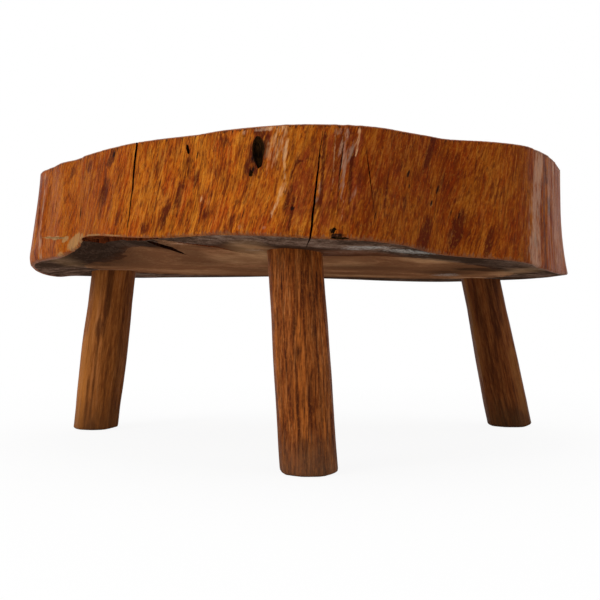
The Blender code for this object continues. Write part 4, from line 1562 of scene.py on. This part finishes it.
def grown_edge_wood():
    """Hardwood just under the bark, brush varnished: orange brown, flamed along the grain with
    red brown and honey, with dark pores. The varnish gives soft glints on the ribs, and a painted
    sheen stands for its reflection at both ends and on the glossy patch."""
    material, tree, shader = new_material(
        "varnished_grown_hardwood", IOR=1.5, Specular_IOR_Level=0.012
    )
    fibre = add_node(tree, "Attribute", attribute_name="fibre").outputs["Vector"]
    fibre = swayed(tree, fibre, size=70, sway=0.006)
    tone = grain(
        tree,
        fibre,
        (
            (60, 1.2, 2, 0.5, 0.6),
            (16, 2.6, 2, 0.5, 0.7),
            (7, 4, 3, 0.6, 0.5),
            (2.6, 9, 4, 0.7, 0.9),
            (1.4, 6, 2, 0.6, 0.7),
        ),
    )
    flame = grain(tree, fibre, ((22, 2.4, 3, 0.55, 0.8), (4.6, 5, 4, 0.65, 1.2), (2.4, 6, 2, 0.6, 0.7)))
    hue = grain(tree, fibre, ((22, 2.6, 3, 0.6, 1.2), (4, 5, 2, 0.6, 0.9)))
    line = grain(tree, fibre, ((2.4, 16, 3, 0.65, 1.6), (9, 4, 2, 0.5, 0.6)))
    fleck = grain(tree, fibre, ((2.4, 1.7, 2, 0.7, 1.7),))
    pore = grain(tree, fibre, ((2.0, 4, 2, 0.6, 1.4), (6, 3, 2, 0.5, 0.6)))
    fray = grain(tree, fibre, ((5, 3, 3, 0.6, 0.9), (2.4, 5, 2, 0.6, 0.9)))
    colour = add_node(
        tree,
        "ValToRGB",
        {"Fac": tone},
        stops=(
            (0.24, "#662809"),
            (0.38, "#8C3F0C"),
            (0.50, "#A6530F"),
            (0.62, "#B86414"),
            (0.78, "#C87C28"),
        ),
    )
    place = add_node(tree, "TexCoord").outputs["Object"]
    across = add_node(tree, "SeparateXYZ", {"Vector": place}).outputs["X"]
    mark = {
        name: broken_mark(tree, name, fray, gain, 1 - gain / 2) for name, gain in FRAYING.items()
    }
    # Height on the wall, 0 at its lower arris and 1 at its upper one, frayed by the pores
    height = add_node(tree, "Attribute", attribute_name="height_share").outputs["Fac"]
    frayed = add_node(tree, "Math", {0: pore, 1: 0.10, 2: height}, operation="MULTIPLY_ADD")
    colour = laid_over(
        tree,
        colour,
        (
            (hue, 0.50, 0.72, 0.65, "#9C3A0C"),
            (hue, 0.46, 0.30, 0.38, "#B87420"),
            (line, 0.42, 0.30, 0.24, "#CC8A38"),
            # The right end is redder and darker, partly as painted shade on the side turned from the
            # key light, and the left end browner
            (across, -0.06, 0.10, 0.62, "#5C1C04"),
            (across, -0.12, -0.24, 0.44, "#883C00"),
            (flame, 0.58, 0.70, 0.60, "#6C2A0C"),
            (flame, 0.70, 0.84, 0.60, "#42180C"),
            (mark["red_mark"], 0.34, 0.80, 0.70, "#742A14"),
            # Stains and dark lines, one of them painted shade in a crease at the right end
            (mark["stain_and_crease_shade_mark"], 0.24, 0.62, 0.92, "#481609"),
            (line, 0.42, 0.30, 0.16, "#B8702A"),
            (fleck, 0.42, 0.26, 0.14, "#C8842E"),
            (line, 0.56, 0.70, 0.58, "#582208"),
            (fleck, 0.58, 0.74, 0.34, "#5C240C"),
            (pore, 0.60, 0.72, 0.60, "#481A0C"),
            (mark["tan_mark"], 0.40, 0.62, 0.78, "#A0784A"),
            # Painted sheen of the varnish
            (mark["painted_sheen_mark"], 0.42, 0.95, 0.46, "#B8947A"),
            (mark["pale_mark"], 0.42, 1.00, 0.66, "#D2A070"),
            (mark["black_mark"], 0.36, 0.65, 0.95, "#160C0A"),
            # A dark line under the top's arris and a paler, greyer one along the lower rim
            (frayed, 1.045, 1.056, 0.7, "#3E1E0E"),
            (frayed, 0.055, 0.035, 0.6, "#6E4A34"),
        ),
    )
    finish_wood(tree, shader, colour, (tone, 0.0016, 0.6), (tone, 0.3, 0.7, 0.42, 0.28))
    return material


def end_grain_wood(name, stops, heart, ring_width, roughness, specular, relief, top=False):
    """End grain across the trunk: rings that follow its lobes, a darker heart, and fine specks.
    The top shows its rings and its rays clearly. On the underside, painted shade darkens the wood
    in patches, lighter patches lift it, and painted glints stand for varnish catching the light."""
    material, tree, shader = new_material(name, IOR=1.5, Specular_IOR_Level=specular)
    place = add_node(tree, "TexCoord").outputs["Object"]
    mottling = 0.4 if top else 1.0
    ring_share = 0.80 if top else 0.16
    blotch = grain(tree, place, ((70, 1, 5, 0.65, mottling), (14, 1, 4, 0.6, mottling / 2)))
    speck = grain(tree, place, ((1.8, 1, 2, 0.7, 0.8), (5, 1, 3, 0.6, 0.6)))
    ring = add_node(tree, "Attribute", attribute_name="ring").outputs["Fac"]
    ring = add_node(tree, "Math", {0: blotch, 1: RING_WAVER, 2: ring}, operation="MULTIPLY_ADD")
    outward = add_node(tree, "CombineXYZ", {"Z": ring})
    rings = grain(tree, outward, ((ring_width, 1, 3, 0.6, 1.2), (ring_width * 5, 1, 2, 0.5, 0.5)))
    centred = {0: rings, 1: ring_share, 2: -0.5 - ring_share / 2}
    ringed = add_node(tree, "Math", centred, operation="MULTIPLY_ADD")
    mottled = add_node(tree, "Math", {0: speck, 1: 0.5, 2: ringed}, operation="MULTIPLY_ADD")
    tone = add_node(tree, "Math", {0: blotch, 1: mottled}, operation="ADD")
    lifted = add_node(tree, "Math", {0: tone, 1: 0.25}, operation="ADD")
    colour = add_node(tree, "ValToRGB", {"Fac": lifted}, stops=stops)
    colour = laid_over(tree, colour, ((ring, *HEARTWOOD_EDGE, 0.55, heart),))
    if top:
        flat = add_node(tree, "SeparateXYZ", {"Vector": place})
        plan = {0: flat.outputs["Y"], 1: flat.outputs["X"]}
        round_heart = add_node(tree, "Math", plan, operation="ARCTAN2")
        arc = add_node(tree, "Math", {0: round_heart, 1: RAY_RADIUS}, operation="MULTIPLY")
        polar = add_node(tree, "CombineXYZ", {"X": arc, "Z": ring})
        ray = grain(tree, polar, ((3.6, 16, 3, 0.6, 1.3), (16, 4, 2, 0.5, 0.7)))
        layers = (
            (ray, 0.58, 0.80, 0.42, "#5A280C"),
            (ray, 0.42, 0.22, 0.20, "#C98A48"),
            (ring, *BARK_EDGE, 0.50, "#5A2A0E"),
        )
    else:
        light = broken_mark(tree, "light_mark", blotch, *UNDER_FRAYING)
        painted_shade = broken_mark(tree, "shade_mark", blotch, *UNDER_FRAYING)
        glint = broken_mark(tree, "painted_glint_mark", speck, *UNDER_FRAYING)
        # Lighter patches, painted shade and painted glints, as marked on the points
        layers = (
            (light, 0.05, 1.0, 0.60, "#D0A274"),
            (painted_shade, 0.05, 1.0, 0.82, "#1E120C"),
            (glint, 0.55, 1.25, 0.75, "#B8B4AC"),
        )
    colour = laid_over(tree, colour, layers)
    height = add_node(tree, "Math", {0: rings, 1: 0.5, 2: speck}, operation="MULTIPLY_ADD")
    gloss = (blotch, 0.35, 0.65, roughness - 0.12, roughness + 0.12)
    finish_wood(tree, shader, colour, (height, relief, 0.6), gloss)
    return material


def torn_wood(name, dark, light):
    """Wood that split or tore, never varnished inside: dull and fibrous, between a dark and a light
    colour. In the splits the dark colour is nearly black, as painted shade deep in them.
    """
    material, tree, shader = new_material(name, Roughness=0.9, Specular_IOR_Level=0)
    place = add_node(tree, "TexCoord").outputs["Object"]
    fibres = grain(tree, place, ((2.2, 6, 4, 0.7, 1.2), (9, 2, 3, 0.6, 0.6)))
    stops = ((0.34, dark), (0.66, light))
    colour = add_node(tree, "ValToRGB", {"Fac": fibres}, stops=stops)
    finish_wood(tree, shader, colour, (fibres, 0.0012, 0.8))
    return material


def hewn_pole_wood(name, stops, line_share, foot_colour, light_colour):
    """A pole hewn with a drawknife and varnished: brown, with dark grain lines along it and a
    dirty foot. The varnish is thin, so the gloss is soft."""
    material, tree, shader = new_material(name, IOR=1.5, Specular_IOR_Level=0.02)
    place = add_node(tree, "Attribute", attribute_name="fibre").outputs["Vector"]
    place = swayed(tree, place, size=90, sway=0.005)
    tone = grain(tree, place, ((14, 9, 2, 0.5, 0.5), (4, 14, 3, 0.6, 0.8), (1.9, 12, 3, 0.7, 1.0)))
    line = grain(tree, place, ((2.0, 26, 3, 0.6, 1.5), (8, 8, 2, 0.5, 0.5)))
    pore = grain(tree, place, ((1.7, 9, 2, 0.6, 1.5), (10, 4, 2, 0.5, 0.6)))
    fleck = grain(tree, place, ((2.2, 1.9, 2, 0.7, 1.6),))
    colour = add_node(tree, "ValToRGB", {"Fac": tone}, stops=stops)
    height = add_node(tree, "SeparateXYZ", {"Vector": place}).outputs["Z"]
    smudged = add_node(tree, "Math", {0: pore, 1: 0.05, 2: height}, operation="MULTIPLY_ADD")
    light_strip = broken_mark(tree, "light_strip", line, *STRIP_FRAYING)
    dark_strip = broken_mark(tree, "dark_strip", tone, *STRIP_FRAYING)
    colour = laid_over(
        tree,
        colour,
        (
            (light_strip, 0.15, 0.90, 0.52, light_colour),
            (dark_strip, 0.15, 0.90, 0.66, "#32150A"),
            (line, 0.55, 0.68, line_share * 0.70, "#34160C"),
            (pore, 0.58, 0.72, line_share * 0.65, "#2E160C"),
            (fleck, 0.42, 0.26, line_share * 0.22, light_colour),
            (fleck, 0.57, 0.74, line_share * 0.34, "#3A1A0C"),
            # Dirt on the lowest few centimetres
            (smudged, 0.075, 0.020, 0.65, foot_colour),
        ),
    )
    finish_wood(tree, shader, colour, (line, 0.0009, 0.6), (tone, 0.3, 0.7, 0.5, 0.36))
    return material


edge_wood = grown_edge_wood()

# The sawn top: amber rings and rays under the thickest varnish, which makes it the glossiest
top_wood = end_grain_wood(
    "sawn_varnished_end_grain",
    ((0.45, "#7A3C12"), (0.60, "#9C5A20"), (0.75, "#B4742E"), (0.92, "#C99048")),
    heart="#7A3A12",
    ring_width=11,
    roughness=0.34,
    specular=0.3,
    relief=0.0004,
    top=True,
)

# The adzed underside: end grain, dull, with no varnish; its pale brown is partly painted light that
# lifts the dim underside, and it is blotched with painted shade
under_wood = end_grain_wood(
    "adzed_dull_end_grain",
    ((0.45, "#644430"), (0.60, "#9A6E4E"), (0.75, "#BC8C66"), (0.92, "#D0A47C")),
    heart="#8C5C3C",
    ring_width=14,
    roughness=0.75,
    specular=0.0,
    relief=0.0014,
)

# The rim of the underside, where the varnish ran over: greyer, as painted reflection of the white floor
# seen at a grazing angle, and not quite as dull
band_wood = end_grain_wood(
    "adzed_end_grain_varnish_run_with_painted_sheen",
    ((0.45, "#3E2E24"), (0.60, "#6E5648"), (0.75, "#8C7464"), (0.92, "#AC9686")),
    heart="#6A3C22",
    ring_width=14,
    roughness=0.62,
    specular=0.0,
    relief=0.0014,
)

# Wood opened by splits, by the torn ledge, by rot round the knot, by a fresh break and by boring:
# the deeper and older the opening is, the darker it is coloured, and the near black in the splits,
# checks and holes is painted shade
split_wood_with_painted_shade = torn_wood("split_dry_hardwood_with_painted_shade", "#0C0604", "#3A1C0E")
# The torn ledge's wood also paints the shadow just behind the step in the underside
ledge_and_step_shadow_wood = torn_wood("torn_ledge_hardwood_and_painted_step_shadow", "#2A0E06", "#74381C")
knot_wood = torn_wood("rotted_knot_wood", "#120A06", "#3A2410")
tan_wood = torn_wood("broken_pale_hardwood", "#7E5A36", "#BC986A")
joint_wood = torn_wood("bored_hardwood", "#3A2010", "#8A5A30")

# Riven along the fibre and never varnished: pale, dry and stringy
wedge_wood = torn_wood("riven_wedge_wood", "#8A6238", "#C49A62")

# Three poles from different wood: the front one is reddish with strong dark grain, the left one
# evener and lighter, the right one the darkest
front_wood = hewn_pole_wood(
    "hewn_varnished_front_pole_wood",
    ((0.26, "#4E2410"), (0.42, "#7A3C16"), (0.56, "#925020"), (0.74, "#A86636")),
    line_share=0.75,
    foot_colour="#5E4634",
    light_colour="#BC6A2A",
)
left_wood = hewn_pole_wood(
    "hewn_varnished_rear_left_pole_wood",
    ((0.14, "#5E3014"), (0.42, "#80481E"), (0.56, "#925626"), (0.86, "#A4683A")),
    line_share=0.25,
    foot_colour="#5E3C22",
    light_colour="#B87432",
)
right_wood = hewn_pole_wood(
    "hewn_varnished_rear_right_pole_wood",
    ((0.14, "#44200E"), (0.42, "#5E3014"), (0.56, "#6E3C1A"), (0.86, "#825028")),
    line_share=0.25,
    foot_colour="#42301E",
    light_colour="#8A5A2C",
)

# The sawn ends of the poles: dull, and brown with floor dirt
foot_wood = torn_wood("sawn_pole_end_grain", "#3A2414", "#7A5430")

blank = slab_blank()
fit = fit_to(blank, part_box("slab"))
slab = new_piece("trunk_slice", blank, edge_wood, top_wood, under_wood, band_wood)
cutters = [
    step_cutter(under_wood, ledge_and_step_shadow_wood),
    # Splits: rows of height share, bearing and width
    split_cutter(
        "left_split",
        (
            (-0.12, -127.9, 0.0004),
            (0.05, -127.5, 0.0005),
            (0.22, -127.0, 0.0012),
            (0.50, -126.2, 0.0024),
            (0.80, -125.5, 0.0032),
            (1.12, -124.7, 0.0038),
        ),
        depth=0.085,
        waver=0.0010,
        material=split_wood_with_painted_shade,
    ),
    split_cutter(
        "front_split",
        (
            (-0.12, -88.0, 0.0016),
            (0.10, -87.5, 0.0022),
            (0.45, -86.8, 0.0020),
            (0.68, -86.3, 0.0013),
            (0.84, -85.9, 0.0006),
            (0.95, -85.7, 0.0001),
        ),
        depth=0.062,
        waver=0.0008,
        material=split_wood_with_painted_shade,
    ),
    # Hollows: bearing, height share, size as wide, deep and high, turn and roughness
    hollow_cutter("knot_hollow", -96.2, 0.765, (0.0136, 0.0085, 0.033), 4, 0.10, knot_wood, taper=0.35),
    hollow_cutter("borer_hole", -111.3, 0.87, (0.0034, 0.006, 0.011), 14, 0.2, split_wood_with_painted_shade),
    hollow_cutter("small_knot", -97.5, 0.565, (0.0050, 0.0024, 0.006), 0, 0.5, knot_wood),
    hollow_cutter("edge_chip", -84.1, 0.055, (0.007, 0.0020, 0.004), 60, 0.5, knot_wood),
    hollow_cutter("edge_dent", -83.3, -0.02, (0.016, 0.0028, 0.005), 0, 0.6, knot_wood),
    # Scars: rows of bearing, height share, width and depth
    gouge_cutter(
        "curved_check",
        (
            (-78.6, 0.82, 0.0006, 0.004),
            (-78.1, 0.65, 0.0011, 0.005),
            (-77.8, 0.48, 0.0010, 0.005),
            (-77.2, 0.24, 0.0005, 0.003),
        ),
        split_wood_with_painted_shade,
    ),
    gouge_cutter(
        "glossy_patch_check",
        (
            (-82.2, 0.92, 0.0005, 0.003),
            (-82.7, 0.70, 0.0009, 0.004),
            (-83.3, 0.45, 0.0006, 0.003),
        ),
        split_wood_with_painted_shade,
    ),
    gouge_cutter(
        "left_slit",
        (
            (-150.3, 0.50, 0.0010, 0.004),
            (-150.8, 0.36, 0.0016, 0.005),
            (-151.4, 0.20, 0.0008, 0.003),
        ),
        split_wood_with_painted_shade,
    ),
    gouge_cutter(
        "break_line",
        (
            (-171.5, 0.235, 0.0016, 0.0016),
            (-165.0, 0.205, 0.0026, 0.0020),
            (-159.0, 0.170, 0.0026, 0.0026),
            (-157.0, 0.145, 0.0022, 0.0010),
        ),
        tan_wood,
        ragged=0.6,
    ),
    ledge_cutter(ledge_and_step_shadow_wood),
    shake_cutter(split_wood_with_painted_shade),
]
for check in HEART_CHECKS:
    cutters.append(heart_check_cutter(*check, split_wood_with_painted_shade))
for cutter in cutters:
    cutter.data.transform(fit)
for pole in POLES:
    cutters += joint_cutters(pole, joint_wood)
cut_away(slab, cutters)
note_grain(slab)
shade(slab, SLAB_CREASE)
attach(slab, "root")
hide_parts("slab")

for pole, wood in zip(POLES, (front_wood, left_wood, right_wood)):
    leg = make_pole(pole, wood, foot_wood)
    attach(leg, "root")
    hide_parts("leg_" + pole.name)
    wedge = frame["nodes"]["wedge_" + pole.name]
    for slot in wedge.material_slots:
        slot.material = wedge_wood

# A white floor that keeps the object's shadow and fades into the white round it
bm = bmesh.new()
bmesh.ops.create_grid(bm, x_segments=1, y_segments=1, size=9)
floor_paint, tree, shader = new_material("matt_white_floor", Roughness=0.9, Specular_IOR_Level=0)
shader.inputs["Base Color"].default_value = linear("#F4F4F4")
place = add_node(tree, "TexCoord").outputs["Object"]
far = add_node(tree, "VectorMath", {0: place}, operation="LENGTH").outputs["Value"]
whiter = add_node(
    tree,
    "MapRange",
    {"Value": far, "From Min": 0.35, "From Max": 1.3, "To Min": 0.91, "To Max": 1.0},
    interpolation_type="SMOOTHSTEP",
)
rays = add_node(tree, "LightPath")
shown = add_node(tree, "Math", {0: rays.outputs["Is Camera Ray"], 1: whiter}, operation="MULTIPLY")
glow = add_node(tree, "Emission", {"Strength": 1.0})
mixed = add_node(tree, "MixShader", {0: shown, 1: shader, 2: glow})
connect(tree, tree.nodes["Material Output"], {"Surface": mixed})
floor = new_piece("floor", bm, floor_paint)

# A world that the camera and reflections see as white, and that lights the wood more softly
world = bpy.data.worlds.new("studio")
bpy.context.scene.world = world
world.use_nodes = True
tree = world.node_tree
tree.nodes.clear()
rays = add_node(tree, "LightPath")
seen = rays.outputs["Is Camera Ray"]
for ray in ("Is Glossy Ray", "Is Transmission Ray"):
    seen = add_node(tree, "Math", {0: seen, 1: rays.outputs[ray]}, operation="MAXIMUM")
level = add_node(tree, "MapRange", {"Value": seen, "To Min": 0.58, "To Max": 1.0})
sky = add_node(tree, "Background", {"Color": linear("#FFFFFF"), "Strength": level})
add_node(tree, "OutputWorld", {"Surface": sky})


def add_light(name, place, aim, size, power):
    """An oblong area lamp of so many watts, turned towards a point."""
    data = bpy.data.lights.new(name, "AREA")
    data.shape = "RECTANGLE"
    data.size, data.size_y = size
    data.energy = power
    light = bpy.data.objects.new(name, data)
    light.location = place
    light.rotation_euler = (Vector(aim) - Vector(place)).to_track_quat("-Z", "Y").to_euler()
    bpy.context.scene.collection.objects.link(light)


add_light("key_softbox", (-2.2, -1.8, 1.3), aim=(0, 0, 0.25), size=(1.3, 1.3), power=34)
add_light("fill_softbox", (2.4, -1.4, 1.2), aim=(0, 0, 0.25), size=(1.2, 1.2), power=9)
add_light("overhead_softbox", (0, 0.4, 2.8), aim=(0, 0, 0.3), size=(2.4, 2.4), power=30)

camera_data = bpy.data.cameras.new("camera")
camera_data.sensor_width = SENSOR_MM
camera_data.lens = FOCAL_PIXELS * SENSOR_MM / FRAME_PIXELS
camera = bpy.data.objects.new("camera", camera_data)
camera.location = CAMERA_PLACE
camera.rotation_euler = (math.pi / 2 + math.atan(HORIZON_DROP / FOCAL_PIXELS), 0, 0)
bpy.context.scene.collection.objects.link(camera)
bpy.context.scene.camera = camera
bpy.context.scene.view_settings.view_transform = "Standard"
